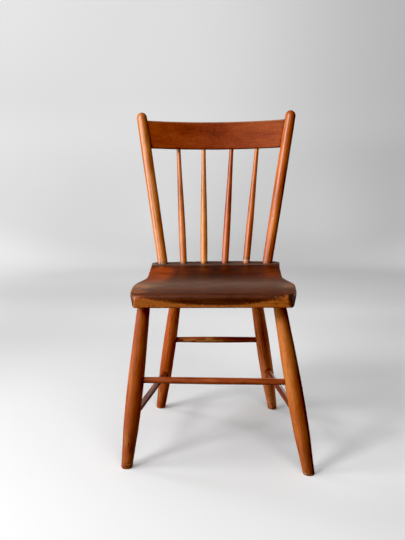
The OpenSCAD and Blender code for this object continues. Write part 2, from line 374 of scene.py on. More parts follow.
class Tree:
    def __init__(self, mat):
        mat.use_nodes = True
        self.nt = mat.node_tree
        self.nt.nodes.clear()

    def node(self, kind, **props):
        n = self.nt.nodes.new(kind)
        for k, v in props.items():
            setattr(n, k, v)
        return n

    def put(self, value, socket):
        if isinstance(value, bpy.types.NodeSocket):
            self.nt.links.new(value, socket)
        elif value is not None:
            socket.default_value = value

    def math(self, op, a, b=None, c=None, clamp=False):
        n = self.node("ShaderNodeMath", operation=op, use_clamp=clamp)
        for i, x in enumerate((a, b, c)):
            if x is not None:
                self.put(x, n.inputs[i])
        return n.outputs[0]

    def mix(self, fac, a, b, mode="MIX"):
        n = self.node("ShaderNodeMix", data_type="RGBA", blend_type=mode)
        n.clamp_factor = True
        self.put(fac, n.inputs[0])
        self.put(a, n.inputs[6])
        self.put(b, n.inputs[7])
        return n.outputs[2]

    def noise(self, vec, scale, detail=3.0, rough=0.55, distortion=0.0):
        n = self.node("ShaderNodeTexNoise")
        self.put(vec, n.inputs["Vector"])
        n.inputs["Scale"].default_value = scale
        n.inputs["Detail"].default_value = detail
        n.inputs["Roughness"].default_value = rough
        n.inputs["Distortion"].default_value = distortion
        return n.outputs["Fac"]

    def mapping(self, vec, loc=(0, 0, 0), rot=(0, 0, 0), scale=(1, 1, 1)):
        n = self.node("ShaderNodeMapping")
        self.put(vec, n.inputs["Vector"])
        n.inputs["Location"].default_value = loc
        n.inputs["Rotation"].default_value = rot
        n.inputs["Scale"].default_value = scale
        return n.outputs[0]

    def ramp(self, fac, stops, interpolation="LINEAR"):
        n = self.node("ShaderNodeValToRGB")
        n.color_ramp.interpolation = interpolation
        e = n.color_ramp.elements
        while len(e) < len(stops):
            e.new(0.5)
        for k, (pos, col) in enumerate(stops):
            e[k].position = pos
            e[k].color = col
        self.put(fac, n.inputs["Fac"])
        return n.outputs["Color"]

    def steps(self, fac, lo, hi, to_lo=0.0, to_hi=1.0):
        n = self.node("ShaderNodeMapRange", interpolation_type="SMOOTHSTEP")
        self.put(fac, n.inputs["Value"])
        n.inputs["From Min"].default_value = lo
        n.inputs["From Max"].default_value = hi
        n.inputs["To Min"].default_value = to_lo
        n.inputs["To Max"].default_value = to_hi
        return n.outputs["Result"]


def wood(name, dark, mid, light, seed=0.0, pith=(0.035, 0.02), rough=0.34, coat=0.25, ring=0.3, streak=0.38,
         blotch=0.32, contrast=1.25, speck=0.35, worn_and_lit=(196, 130, 66), raw=(205, 172, 122), grime_and_shade=(30, 16, 9), bump=0.35,
         spec=0.5, rings_per_m=330.0, coat_rough=0.28, fleck=0.0, wear_grain=(210.0, 0.18)):
    """Stained and varnished hardwood with its grain along the third coordinate of "grain"."""
    mat = bpy.data.materials.new(name)
    t = Tree(mat)
    at = t.node("ShaderNodeAttribute", attribute_name="grain")
    ma = t.node("ShaderNodeAttribute", attribute_name="marks")
    mb = t.node("ShaderNodeAttribute", attribute_name="stains")
    g = t.mapping(at.outputs["Vector"], loc=(seed * 0.37, seed * 0.61, seed * 1.13))
    sa, sb = t.node("ShaderNodeSeparateColor"), t.node("ShaderNodeSeparateColor")
    t.put(ma.outputs["Color"], sa.inputs[0])
    t.put(mb.outputs["Color"], sb.inputs[0])
    wear_and_painted_light, bare, dirt_and_shade, tone = sa.outputs[0], sa.outputs[1], sa.outputs[2], ma.outputs["Alpha"]
    red, grey, scratch, pale = sb.outputs[0], sb.outputs[1], sb.outputs[2], mb.outputs["Alpha"]

    # long wavering of the fibres, then fibres, streaks, growth rings and blotches
    sway = t.noise(t.mapping(g, scale=(9, 9, 3.0)), 1.0, 2.0)
    bend = t.node("ShaderNodeVectorMath", operation="SCALE")
    t.put(t.mapping(g, scale=(1, 1, 1)), bend.inputs[0])
    swayed = t.node("ShaderNodeCombineXYZ")
    t.put(t.math("MULTIPLY", sway, 0.016), swayed.inputs[0])
    t.put(t.math("MULTIPLY", sway, -0.012), swayed.inputs[1])
    moved = t.node("ShaderNodeVectorMath", operation="ADD")
    t.put(g, moved.inputs[0])
    t.put(swayed.outputs[0], moved.inputs[1])
    gm = moved.outputs[0]
    fibre = t.noise(t.mapping(gm, scale=(1, 1, 0.03)), 1150.0, 3.0, 0.6)
    streaks = t.noise(t.mapping(gm, scale=(1, 1, 0.045)), 260.0, 4.0, 0.62, 0.15)
    broad = t.noise(t.mapping(gm, scale=(1, 1, 0.13)), 62.0, 3.0, 0.55)
    blot = t.noise(t.mapping(g, scale=(1, 1, 0.45)), 26.0, 4.0, 0.6, 0.25)
    sep = t.node("ShaderNodeSeparateXYZ")
    t.put(t.mapping(gm, loc=(pith[0], pith[1], 0)), sep.inputs[0])
    rad = t.math("SQRT", t.math("ADD", t.math("POWER", sep.outputs[0], 2.0), t.math("POWER", sep.outputs[1], 2.0)))
    wander = t.noise(t.mapping(g, scale=(1, 1, 0.25)), 34.0, 2.0)
    phase = t.math("ADD", t.math("MULTIPLY", rad, rings_per_m * 2 * math.pi), t.math("MULTIPLY", wander, 9.0))
    rings_ = t.math("MULTIPLY_ADD", t.math("SINE", phase), 0.5, 0.5)
    rings_ = t.math("POWER", rings_, 1.6)

    f = t.math("MULTIPLY", t.math("SUBTRACT", streaks, 0.5), streak * 3.2)
    f = t.math("ADD", f, t.math("MULTIPLY", t.math("SUBTRACT", rings_, 0.4), -ring * 0.75))
    f = t.math("ADD", f, t.math("MULTIPLY", t.math("SUBTRACT", blot, 0.5), blotch * 3.0))
    f = t.math("ADD", f, t.math("MULTIPLY", t.math("SUBTRACT", broad, 0.5), 0.8))
    f = t.math("ADD", f, t.math("MULTIPLY", t.math("SUBTRACT", fibre, 0.5), 0.55))
    if fleck:
        mottle = t.noise(t.mapping(g, scale=(1, 1, 0.5)), 330.0, 3.0, 0.65)
        f = t.math("ADD", f, t.math("MULTIPLY", t.math("SUBTRACT", mottle, 0.5), fleck))
    f = t.math("MULTIPLY_ADD", f, contrast, 0.5)
    # tone lightens or darkens the grain; on some pieces it also carries painted light and shade
    f = t.math("ADD", f, t.math("MULTIPLY", t.math("SUBTRACT", tone, 0.5), 1.6), clamp=True)
    col = t.ramp(f, [(0.0, lin(*dark)), (0.5, lin(*mid)), (1.0, lin(*light))])

    # red-orange patches where the stain is thin, grey bloom where it is rubbed, grey residue and greyer leg feet, and
    # on the seat a grey painted sheen standing in for a reflection
    rednoise = t.noise(t.mapping(g, scale=(1, 1, 0.6)), 55.0, 3.0)
    col = t.mix(t.math("MULTIPLY", red, t.steps(rednoise, 0.1, 0.65, 0.45, 1.0)), col, lin(198, 84, 31))
    col = t.mix(t.math("MULTIPLY", grey, 0.8), col, lin(150, 122, 106))

    # worn finish: the edges and rubbed places go golden, breaking up with the fibres; on some pieces the same golden
    # paint is painted light
    wn = t.noise(t.mapping(gm, scale=(1, 1, wear_grain[1])), wear_grain[0], 5.0, 0.65)
    wfac = t.steps(t.math("ADD", wear_and_painted_light, t.math("MULTIPLY", t.math("SUBTRACT", wn, 0.5), 1.1)), 0.32, 0.78)
    wfac = t.math("MULTIPLY", wfac, t.steps(wear_and_painted_light, 0.02, 0.2))
    wcol = t.mix(t.noise(t.mapping(gm, scale=(1, 1, max(0.06, wear_grain[1] * 0.5))), 420.0, 3.0), lin(*[c * 0.68 for c in worn_and_lit]), lin(*[min(255, c * 1.16) for c in worn_and_lit]))
    col = t.mix(t.math("MULTIPLY", wfac, 0.9), col, wcol)

    # pores and small dark specks, longer along the grain
    vor = t.node("ShaderNodeTexVoronoi", feature="F1")
    t.put(t.mapping(g, scale=(1, 1, 0.3)), vor.inputs["Vector"])
    vor.inputs["Scale"].default_value = 150.0
    pick = t.node("ShaderNodeSeparateColor")
    t.put(vor.outputs["Color"], pick.inputs[0])
    dot = t.math("MULTIPLY", t.steps(vor.outputs["Distance"], 0.2, 0.06), t.steps(pick.outputs[0], 0.72, 0.78))
    col = t.mix(t.math("MULTIPLY", dot, speck), col, lin(*grime_and_shade))

    # bare wood in the chips, scratches, pale marks (some of them painted highlights), then grime and painted shade over
    # everything
    bn = t.noise(t.mapping(gm, scale=(1, 1, 0.05)), 700.0, 3.0)
    col = t.mix(bare, col, t.mix(bn, lin(*[c * 0.66 for c in raw]), lin(*raw)))
    col = t.mix(t.math("MULTIPLY", scratch, 0.85), col, lin(*grime_and_shade))
    col = t.mix(pale, col, lin(206, 190, 168))
    dn = t.noise(t.mapping(g, scale=(1, 1, 0.5)), 130.0, 4.0, 0.6)
    dfac = t.math("MULTIPLY", dirt_and_shade, t.steps(dn, 0.2, 0.62, 0.45, 1.0))
    col = t.mix(dfac, col, lin(*grime_and_shade))

    b = t.node("ShaderNodeBsdfPrincipled")
    t.put(col, b.inputs["Base Color"])
    r = t.math("MULTIPLY_ADD", t.math("SUBTRACT", blot, 0.5), 0.16, rough)
    r = t.math("ADD", r, t.math("MULTIPLY", t.math("SUBTRACT", fibre, 0.5), 0.1))
    r = t.math("ADD", r, t.math("MULTIPLY", wfac, 0.12))
    r = t.math("ADD", r, t.math("MULTIPLY", bare, 0.35))
    r = t.math("ADD", r, t.math("MULTIPLY", dfac, 0.25))
    r = t.math("MAXIMUM", r, 0.16)
    t.put(t.math("MINIMUM", r, 0.95), b.inputs["Roughness"])
    b.inputs["Specular IOR Level"].default_value = spec
    b.inputs["Coat Weight"].default_value = coat
    b.inputs["Coat Roughness"].default_value = coat_rough
    h = t.math("MULTIPLY", fibre, 0.30)
    h = t.math("ADD", h, t.math("MULTIPLY", streaks, 0.5))
    h = t.math("ADD", h, t.math("MULTIPLY", rings_, -0.18))
    h = t.math("SUBTRACT", h, t.math("MULTIPLY", dot, 0.6))
    h = t.math("ADD", h, t.math("MULTIPLY", t.math("MULTIPLY", bare, bn), 1.6))
    h = t.math("SUBTRACT", h, t.math("MULTIPLY", scratch, 1.0))
    bp = t.node("ShaderNodeBump")
    bp.inputs["Strength"].default_value = bump
    bp.inputs["Distance"].default_value = 0.0004
    t.put(h, bp.inputs["Height"])
    t.put(bp.outputs["Normal"], b.inputs["Normal"])
    t.put(bp.outputs["Normal"], b.inputs["Coat Normal"])
    out = t.node("ShaderNodeOutputMaterial")
    t.put(b.outputs[0], out.inputs[0])
    return mat


MATS = {
    "front_left_leg": wood("wood_front_left_leg", (117, 47, 19), (166, 79, 33), (204, 116, 57), seed=1.0, rough=0.5, coat=0.0, spec=0.16, streak=0.24, ring=0.14, contrast=1.0),
    "front_right_leg": wood("wood_front_right_leg", (130, 56, 22), (187, 94, 38), (225, 136, 67), seed=2.3, pith=(0.02, 0.04), rough=0.5, coat=0.0, spec=0.16, streak=0.24, ring=0.14, contrast=1.0),
    "rear_left_leg": wood("wood_rear_left_leg", (119, 44, 17), (170, 78, 33), (208, 114, 56), seed=3.7, rough=0.5, coat=0.0, spec=0.16, streak=0.24, ring=0.14, contrast=1.0),
    "rear_right_leg": wood("wood_rear_right_leg", (120, 57, 31), (180, 92, 50), (230, 130, 80), seed=4.9, pith=(0.05, 0.01), rough=0.52, coat=0.0, spec=0.18, streak=0.28, contrast=1.1),
    "front_stretcher": wood("wood_front_stretcher", (120, 46, 17), (166, 74, 31), (192, 105, 52), seed=5.1, ring=0.15),
    "rear_stretcher": wood("wood_rear_stretcher", (108, 40, 17), (154, 68, 30), (190, 104, 54), seed=6.2, ring=0.15),
    "left_stretcher": wood("wood_left_stretcher", (84, 28, 12), (124, 50, 24), (160, 84, 44), seed=7.3, ring=0.15, rough=0.4),
    "right_stretcher": wood("wood_right_stretcher", (88, 30, 12), (130, 54, 24), (168, 88, 46), seed=8.4, ring=0.15, rough=0.4),
    "left_post": wood("wood_left_post", (149, 70, 23), (200, 115, 48), (231, 153, 79), seed=9.5, coat=0.42, coat_rough=0.34, streak=0.28),
    "right_post": wood("wood_right_post", (143, 56, 13), (191, 90, 26), (224, 129, 52), seed=10.6, pith=(0.01, 0.05), coat=0.24, coat_rough=0.34, streak=0.28),
    "crest_rail": wood("wood_crest_rail", (97, 37, 20), (137, 58, 27), (168, 82, 37), seed=11.7, pith=(0.3, 0.0), rough=0.5, ring=0.12,
                       contrast=0.9, speck=0.3, coat=0.0, spec=0.14, streak=0.16, fleck=1.1),
    "spindle_1": wood("wood_spindle_1", (153, 71, 27), (206, 118, 57), (232, 150, 86), seed=12.8, ring=0.2, coat=0.32, coat_rough=0.34, streak=0.28),
    "spindle_2": wood("wood_spindle_2", (163, 83, 27), (217, 134, 60), (241, 166, 88), seed=13.9, ring=0.2, coat=0.32, coat_rough=0.34, streak=0.28),
    "spindle_3": wood("wood_spindle_3", (135, 49, 15), (181, 83, 31), (214, 119, 56), seed=15.0, ring=0.2, coat=0.26, coat_rough=0.34, streak=0.28),
    "spindle_4": wood("wood_spindle_4", (146, 58, 16), (196, 100, 35), (228, 140, 61), seed=16.1, ring=0.2, coat=0.3, coat_rough=0.34, streak=0.28),
    "seat": wood("wood_seat", (42, 17, 9), (75, 33, 18), (112, 57, 34), seed=17.2, pith=(0.4, 0.06), rough=0.45, ring=0.25,
                 contrast=0.95, speck=0.5, worn_and_lit=(252, 129, 55), rings_per_m=220.0, coat=0.0, spec=0.34, streak=0.2, fleck=0.9, wear_grain=(430.0, 0.5)),
}


def finish_piece(ob, node, grain, marks, stains):
    """Writes the painting attributes, shades it and hands it to the frame."""
    me = ob.data
    n = len(me.vertices)
    a = me.attributes.new("grain", "FLOAT_VECTOR", "POINT")
    a.data.foreach_set("vector", np.asarray(grain, np.float32).ravel() * 0.001)
    for name, cols in (("marks", marks), ("stains", stains)):
        c = np.zeros((n, 4), np.float32)
        for k in range(4):
            c[:, k] = np.clip(cols[k], 0, 1)
        at = me.attributes.new(name, "FLOAT_COLOR", "POINT")
        at.data.foreach_set("color", c.ravel())
    me.materials.clear()
    me.materials.append(MATS[node])
    me.polygons.foreach_set("use_smooth", np.ones(len(me.polygons), bool))
    me.set_sharp_from_angle(angle=math.radians(50))
    me.update()
    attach(ob, "root")
    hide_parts(node)
    bm = bmesh.new()
    bm.from_mesh(me)
    loose = sum(1 for e in bm.edges if len(e.link_faces) != 2)
    tris = sum(len(f.verts) - 2 for f in bm.faces)
    bm.free()
    lo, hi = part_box(node)
    co = (points_of(ob) - ORIGIN) * 0.001
    off = max(np.abs(co.min(0) - np.array(lo)).max(), np.abs(co.max(0) - np.array(hi)).max())
    print("PIECE %-16s verts %6d tris %6d open edges %d off the CAD box %.2f mm" % (node, n, tris, loose, off * 1000))


def axis_coords(p, a, b):
    u, v, w = frame_of(a, b)
    q = p - a
    return np.column_stack([q @ u, q @ v, q @ w])


def polar(q):
    return np.degrees(np.arctan2(q[:, 1], q[:, 0]))


def spot(q, t, ang, half_len, half_wide, tilt=0.0):
    """Soft spot at (t along the axis, angle), sized in mm along and across, turned by tilt degrees."""
    r = np.hypot(q[:, 0], q[:, 1])
    da = np.radians((polar(q) - ang + 180) % 360 - 180) * r
    dt = q[:, 2] - t
    c, s = math.cos(math.radians(tilt)), math.sin(math.radians(tilt))
    x, y = da * c + dt * s, -da * s + dt * c
    return 1 - sstep(0.7, 1.15, np.hypot(x / half_wide, y / half_len))


# ---- legs ----
def leg(node, seed, chips=(), dents=(), wear_and_light_spots=(), nseg=96):
    a, b, foot_d, max_d = LEG[node]
    L = np.linalg.norm(b - a)
    st = [[0, foot_d], [0.12, foot_d + (max_d - foot_d) * 0.4], [0.25, foot_d + (max_d - foot_d) * 0.84], [0.42, max_d],
          [0.6, max_d * 0.975], [0.8, max_d * 0.87], [0.985, max_d * 0.77], [1, max_d * 0.77]]
    end_r, end_l = max_d * 0.385, 15.0
    u, v, w = frame_of(a, b)
    arris = 2.2

    def radius(t, th, p):
        r = smooth(st, t / L) / 2
        r = np.where(t > L - 6, end_r, r)
        z = p[:, 2]
        # rounded arris on the floor, uneven round the foot
        e = arris * (1 + 0.45 * noise(np.column_stack([np.cos(th) * 9, np.sin(th) * 9, 0 * th]), 7.0, seed))
        k = np.clip(1 - z / e, 0, 1)
        r = r - e * (1 - np.sqrt(np.clip(1 - k * k, 0, 1))) * 0.9
        hand = 0.16 * noise(np.column_stack([np.cos(th) * 14, np.sin(th) * 14, t]), (16, 16, 60), seed + 3) \
            + 0.05 * noise(np.column_stack([np.cos(th) * 14, np.sin(th) * 14, t]), (6, 6, 9), seed + 4)
        r = r + (hand - 0.12) * sstep(0, 8, z) * (1 - sstep(L - 12, L - 6, t))
        for (dt, ang, ln, wd, dep, tilt) in dents:
            q = np.column_stack([np.cos(th) * r, np.sin(th) * r, t])
            r = r - dep * spot(q, dt, ang, ln, wd, tilt)
        return r

    levels = spread((0, 3, 0.6), (3, 24, 1.1), (24, 60, 1.5), (60, L - 14, 2.6), (L - 14, L + end_l, 2.0))
    pts, faces = rings(a, b, levels, radius, nseg, seat_plane=(0.0, 22.0), cap_rings=7)
    pts[:, 2] = np.maximum(pts[:, 2], 0.0)
    planes = [(a + np.asarray(c, float), nrm, rough, seed + 40 + i) for i, (c, nrm, rough) in enumerate(chips)]
    pts, depth = clip_planes(pts, planes)
    pts[:, 2] = np.maximum(pts[:, 2], 0.0)
    ob = make_object(node + "_looks", pts, faces)
    cutters = []
    for rung in RUNG_ENDS[node]:
        ra, rb, _ = RUNG[rung]
        if np.linalg.norm(rb - at_height(node, rb[2])) < np.linalg.norm(ra - at_height(node, ra[2])):
            ra, rb = rb, ra
        d = unit(rb - ra)
        cutters.append(bore(ra - d * 1.2, ra + d * 40, 7.6))
    cut(ob, cutters)
    p = points_of(ob)
    q = axis_coords(p, a, b)
    z = p[:, 2]
    # masks
    _, chip = clip_planes(p + 0.0, [(c - unit(np.asarray(n_, float)) * 0.12, n_, r_, s_) for c, n_, r_, s_ in planes])
    bare = np.where(chip > 0.02, sstep(0.02, 0.16, chip), 0) * (z < 40)
    wear_and_painted_light = 0.62 * (1 - sstep(2, 16, z)) * (0.5 + 0.5 * noise(p, (6, 6, 9), seed + 11))
    wear_and_painted_light = wear_and_painted_light + 0.35 * sstep(0.25, 0.75, fbm(p, (26, 26, 70), seed + 12, 3)) * (1 - sstep(120, 330, z))
    for (wt, ang, ln, wd, tilt, amount) in wear_and_light_spots:
        wear_and_painted_light = np.maximum(wear_and_painted_light, amount * spot(q, wt, ang, ln, wd, tilt))
    # the top of the leg is darker just under the seat: joint grime and painted shade from the seat above
    dirt_and_shade = 0.75 * sstep(L - 10, L - 1, q[:, 2]) * (0.6 + 0.4 * noise(p, 5.0, seed + 13))
    dirt_and_shade = dirt_and_shade + 0.5 * (1 - sstep(3, 26, z)) * sstep(-0.1, 0.5, noise(p, (7, 7, 12), seed + 14)) * (1 - bare)
    for rung in RUNG_ENDS[node]:
        ra, rb, _ = RUNG[rung]
        dirt_and_shade = np.maximum(dirt_and_shade, 0.9 * near_line(p, ra, rb, 7.8, 10.6) * (0.75 + 0.25 * noise(p, 4.0, seed + 15)))
    dark_spots = np.zeros(len(p))
    for (dt, ang, ln, wd, dep, tilt) in dents:
        dark_spots = np.maximum(dark_spots, spot(q, dt, ang, ln * 0.9, wd * 0.9, tilt) * min(1.0, dep * 1.6))
    tone = 0.5 + 0.10 * fbm(p, (30, 30, 120), seed + 16, 2)
    zero = np.zeros(len(p))
    grey = (0.05 + 0.11 * (1 - sstep(30, 190, z))) * (0.8 + 0.2 * noise(p, (14, 14, 40), seed + 18))
    return ob, p, q, dict(wear_and_painted_light=wear_and_painted_light, bare=bare, dirt_and_shade=dirt_and_shade, tone=tone, red=zero.copy(), grey=grey,
                          scratch=dark_spots * 0.8, pale=zero.copy())


def hand_over(node, ob, q, m):
    finish_piece(ob, node, q, (m["wear_and_painted_light"], m["bare"], m["dirt_and_shade"], m["tone"]), (m["red"], m["grey"], m["scratch"], m["pale"]))


# worn corners match the two cuts in the CAD feet, with smaller knocks beside them
ob, p, q, m = leg("front_left_leg", 100,
    chips=(((-8.6, -11.6, 2.2), (-0.50, -0.62, -0.60), 0.5), ((0.5, -13.2, 1.6), (0.10, -0.80, -0.60), 0.45),
           ((8.8, -10.0, 1.8), (0.55, -0.60, -0.58), 0.4), ((-12.4, 2.6, 1.6), (-0.85, 0.15, -0.5), 0.4)),
    dents=((14.5, -77, 1.4, 5.0, 0.5, 8), (71, -106, 7, 1.6, 0.25, 10), (55, -84, 9, 1.2, 0.22, -6), (188, -62, 5, 2.2, 0.3, 20),
           (268, -95, 6, 1.6, 0.22, 0), (330, -60, 4, 2.0, 0.3, 30), (240, 100, 5, 2.5, 0.35, 10), (120, 40, 6, 2, 0.3, 0)),
    wear_and_light_spots=((78, -118, 30, 8, 4, 0.5), (235, -130, 60, 6, 0, 0.42), (120, -150, 26, 7, 0, 0.35)))
m["dirt_and_shade"] = np.maximum(m["dirt_and_shade"], 0.55 * spot(q, 62, -78, 26, 5.5, 6) * sstep(-0.2, 0.5, noise(p, (3, 3, 9), 5)))
m["pale"] = np.maximum(m["pale"], 0.4 * spot(q, 12.0, -52, 2.0, 5.0, 20) * sstep(-0.4, 0.4, noise(p, 2.0, 6)))
m["dirt_and_shade"] = np.maximum(m["dirt_and_shade"], 0.9 * spot(q, 5.2, -84, 2.0, 3.4, 0))
hand_over("front_left_leg", ob, q, m)

ob, p, q, m = leg("front_right_leg", 200,
    chips=(((-10.6, -8.6, 2.6), (-0.62, -0.45, -0.64), 0.5), ((-3.6, -12.4, 1.5), (-0.2, -0.75, -0.62), 0.4),
           ((11.5, -6.0, 1.8), (0.72, -0.35, -0.6), 0.35)),
    dents=((128.8, -131, 1.6, 1.6, 0.3, 0), (213, -95, 7, 1.6, 0.25, 6), (300, -112, 3, 3, 0.3, 0), (60, -92, 8, 1.4, 0.25, -8),
           (170, -75, 5, 1.6, 0.25, 0), (260, 90, 6, 2.5, 0.35, 15), (90, 20, 5, 2, 0.3, 0)),
    # the golden spots on this leg's lit left side are painted light as well as wear
    wear_and_light_spots=((228, -138, 70, 8, -4, 0.5), (150, -135, 40, 6, 0, 0.42), (60, -125, 22, 5, 0, 0.4)))
m["scratch"] *= 0.6
# painted light: the upper left side of this leg is painted lighter, where the light falls
painted_light = np.exp(-(((polar(q) + 150 + 180) % 360 - 180) / 60.0) ** 2)
m["tone"] += 0.05 * sstep(150, 300, q[:, 2]) - 0.07 * (1 - sstep(60, 140, q[:, 2])) + 0.24 * painted_light * sstep(170, 290, q[:, 2])
m["pale"] = np.maximum(m["pale"], 0.75 * spot(q, 128.8, -131, 1.5, 1.5, 0))
m["pale"] = np.maximum(m["pale"], 0.55 * spot(q, 5.0, -128, 2.2, 3.2, 0))
hand_over("front_right_leg", ob, q, m)

ob, p, q, m = leg("rear_left_leg", 300,
    chips=(((-9.0, -8.8, 2.0), (-0.55, -0.55, -0.62), 0.35), ((2.0, -11.8, 1.4), (0.1, -0.75, -0.65), 0.3)),
    dents=((263, -102.6, 5.5, 1.5, 0.55, 6), (240, -100, 4, 1.2, 0.25, 0), (70, -120, 10, 1.6, 0.25, 4), (330, -80, 4, 2, 0.25, 0),
           (200, 110, 6, 2.5, 0.3, 10)),
    wear_and_light_spots=((55, -125, 34, 6, 6, 0.5), (300, -130, 30, 5, 0, 0.35)))
m["scratch"] = np.maximum(m["scratch"], spot(q, 263, -102.6, 5.2, 1.2, 6))
hand_over("rear_left_leg", ob, q, m)

ob, p, q, m = leg("rear_right_leg", 400,
    chips=(((8.0, -9.0, 1.8), (0.5, -0.55, -0.65), 0.35), ((-9.4, -8.0, 1.8), (-0.6, -0.5, -0.62), 0.3)),
    dents=((28.5, -86, 1.9, 6.4, 0.9, 40), (22.0, -80, 2.6, 3.0, 0.8, 0), (37, -88, 3.4, 2.4, 0.5, -20), (52, -104, 7, 1.6, 0.35, 6),
           (120, -95, 5, 1.6, 0.25, 0), (250, -85, 9, 1.4, 0.25, 3), (180, 80, 6, 2.5, 0.35, 10)),
    wear_and_light_spots=((48, -100, 20, 6, 5, 0.55), (75, -112, 20, 4, 0, 0.4)))
m["scratch"] *= 0.75
low = 1 - sstep(120, 260, q[:, 2])
m["tone"] += 0.25 * low
m["wear_and_painted_light"] = np.maximum(m["wear_and_painted_light"], 0.5 * low * sstep(-0.5, 0.4, fbm(p, (10, 10, 40), 411, 3)))
m["grey"] = np.maximum(m["grey"], 0.28 * (1 - sstep(20, 120, q[:, 2])) * (0.75 + 0.25 * noise(p, (8, 8, 20), 412)))
# painted highlight: a pale line along the upper edge of the gouge
m["pale"] = np.maximum(m["pale"], 0.62 * spot(q, 31.0, -87, 1.3, 5.6, 40))
m["grey"] = np.maximum(m["grey"], 0.5 * spot(q, 45, -97, 12, 4, 8) * sstep(-0.3, 0.5, noise(p, (3, 3, 10), 7)))
hand_over("rear_right_leg", ob, q, m)


# ---- stretchers ----
def rung(node, seed, dents=(), nseg=56):
    a, b, d = RUNG[node]
    L = np.linalg.norm(b - a)
    e, end_d = 26.0, 15.0
    st = [[0, end_d], [0.12, end_d + (d - end_d) * 0.45], [0.5, d], [0.88, end_d + (d - end_d) * 0.45], [1, end_d]]

    def radius(t, th, p):
        r = smooth(st, (t - e) / (L - 2 * e)) / 2
        c = np.column_stack([np.cos(th) * 8, np.sin(th) * 8, t])
        hand = 0.12 * noise(c, (9, 9, 45), seed) + 0.04 * noise(c, (4, 4, 7), seed + 1) - 0.06
        r = r + hand * sstep(22, 30, t) * (1 - sstep(L - 30, L - 22, t))
        for (dt, ang, ln, wd, dep, tilt) in dents:
            q = np.column_stack([np.cos(th) * r, np.sin(th) * r, t])
            r = r - dep * spot(q, dt, ang, ln, wd, tilt)
        edge = np.minimum(t, L - t)
        return r - 0.8 * (1 - sstep(0, 1.6, edge))

    levels = spread((0, 2, 0.5), (2, 30, 1.8), (30, L - 30, 2.6), (L - 30, L - 2, 1.8), (L - 2, L, 0.5))
    pts, faces = rings(a, b, levels, radius, nseg, cap_rings=3)
    ob = make_object(node + "_looks", pts, faces)
    p = points_of(ob)
    q = axis_coords(p, a, b)
    wear_and_painted_light = 0.5 * sstep(0.1, 0.7, fbm(q, (8, 8, 60), seed + 2, 3)) * sstep(24, 60, q[:, 2]) * (1 - sstep(L - 60, L - 24, q[:, 2]))
    dirt_and_shade = 0.85 * np.maximum(1 - sstep(15, 27, q[:, 2]), sstep(L - 27, L - 15, q[:, 2])) * (0.7 + 0.3 * noise(p, 4.0, seed + 3))
    tone = 0.5 + 0.14 * fbm(q, (12, 12, 70), seed + 4, 2)
    zero = np.zeros(len(p))
    scr = zero.copy()
    for (dt, ang, ln, wd, dep, tilt) in dents:
        scr = np.maximum(scr, spot(q, dt, ang, ln * 0.9, wd * 0.9, tilt) * min(1.0, dep * 1.8))
    return ob, p, q, L, dict(wear_and_painted_light=wear_and_painted_light, bare=zero.copy(), dirt_and_shade=dirt_and_shade, tone=tone, red=zero.copy(), grey=zero.copy(), scratch=scr * 0.8,
                             pale=zero.copy())


ob, p, q, L, m = rung("front_stretcher", 500, dents=((150, -60, 5, 1.4, 0.25, 0), (262, 200, 6, 1.3, 0.3, 10), (330, -80, 4, 1.2, 0.2, 0)))
m["wear_and_painted_light"] = np.maximum(m["wear_and_painted_light"], 0.4 * near_line(p, RUNG["front_stretcher"][0] + V(60, -8, 4), RUNG["front_stretcher"][1] + V(-60, -8, 4), 3, 9)
                       * sstep(-0.4, 0.4, fbm(q, (6, 6, 50), 501, 2)))
hand_over("front_stretcher", ob, q, m)
ob, p, q, L, m = rung("rear_stretcher", 520, dents=((90, -80, 6, 1.2, 0.25, 0), (210, -100, 5, 1.3, 0.25, 6)))
m["wear_and_painted_light"] = np.maximum(m["wear_and_painted_light"], 0.8 * (1 - sstep(120, 190, q[:, 2])) * sstep(28, 44, q[:, 2]) * sstep(-0.35, 0.35, fbm(q, (5, 5, 22), 521, 3)))
hand_over("rear_stretcher", ob, q, m)
ob, p, q, L, m = rung("left_stretcher", 540, dents=((120, 100, 6, 1.4, 0.3, 0), (260, 160, 5, 1.3, 0.25, 6)))
hand_over("left_stretcher", ob, q, m)
ob, p, q, L, m = rung("right_stretcher", 560, dents=((140, 60, 6, 1.4, 0.3, 0), (300, 20, 5, 1.3, 0.25, 6)))
m["wear_and_painted_light"] = np.maximum(m["wear_and_painted_light"], 0.6 * sstep(L - 120, L - 60, q[:, 2]) * (1 - sstep(L - 24, L - 16, q[:, 2])) * sstep(-0.4, 0.4, fbm(q, (6, 6, 20), 561, 2)))
hand_over("right_stretcher", ob, q, m)


# ---- crest rail ----
def crest_loop(nz, nt, r, g=0.0):
    """Rounded rectangle in (t across the thickness, z' up), counter-clockwise, with corners r = (top, bottom)."""
    z0, z1, h = CREST_Z - g, CREST_Z + CREST_H + g, CREST_T / 2 + g
    pts = []
    rt, rb = r

    def arc(cx, cz, rr, a0, a1, n):
        for k in range(n):
            al = math.radians(a0 + (a1 - a0) * k / n)
            pts.append((cx + rr * math.cos(al), cz + rr * math.sin(al)))

    def line(p0, p1, n):
        for k in range(n):
            pts.append((p0[0] + (p1[0] - p0[0]) * k / n, p0[1] + (p1[1] - p0[1]) * k / n))

    line((-h, z1 - rt), (-h, z0 + rb), nz)           # front face, downwards
    arc(-h + rb, z0 + rb, rb, 180, 270, 5)
    line((-h + rb, z0), (h - rb, z0), nt)
    arc(h - rb, z0 + rb, rb, 270, 360, 5)
    line((h, z0 + rb), (h, z1 - rt), nz)
    arc(h - rt, z1 - rt, rt, 0, 90, 5)
    line((h - rt, z1), (-h + rt, z1), nt)
    arc(-h + rt, z1 - rt, rt, 90, 180, 5)
    return np.array(pts)


def post_x(side, z):
    a, b = POST[side]
    return a[0] + (b[0] - a[0]) * z * math.cos(LEAN) / (b[2] - a[2])


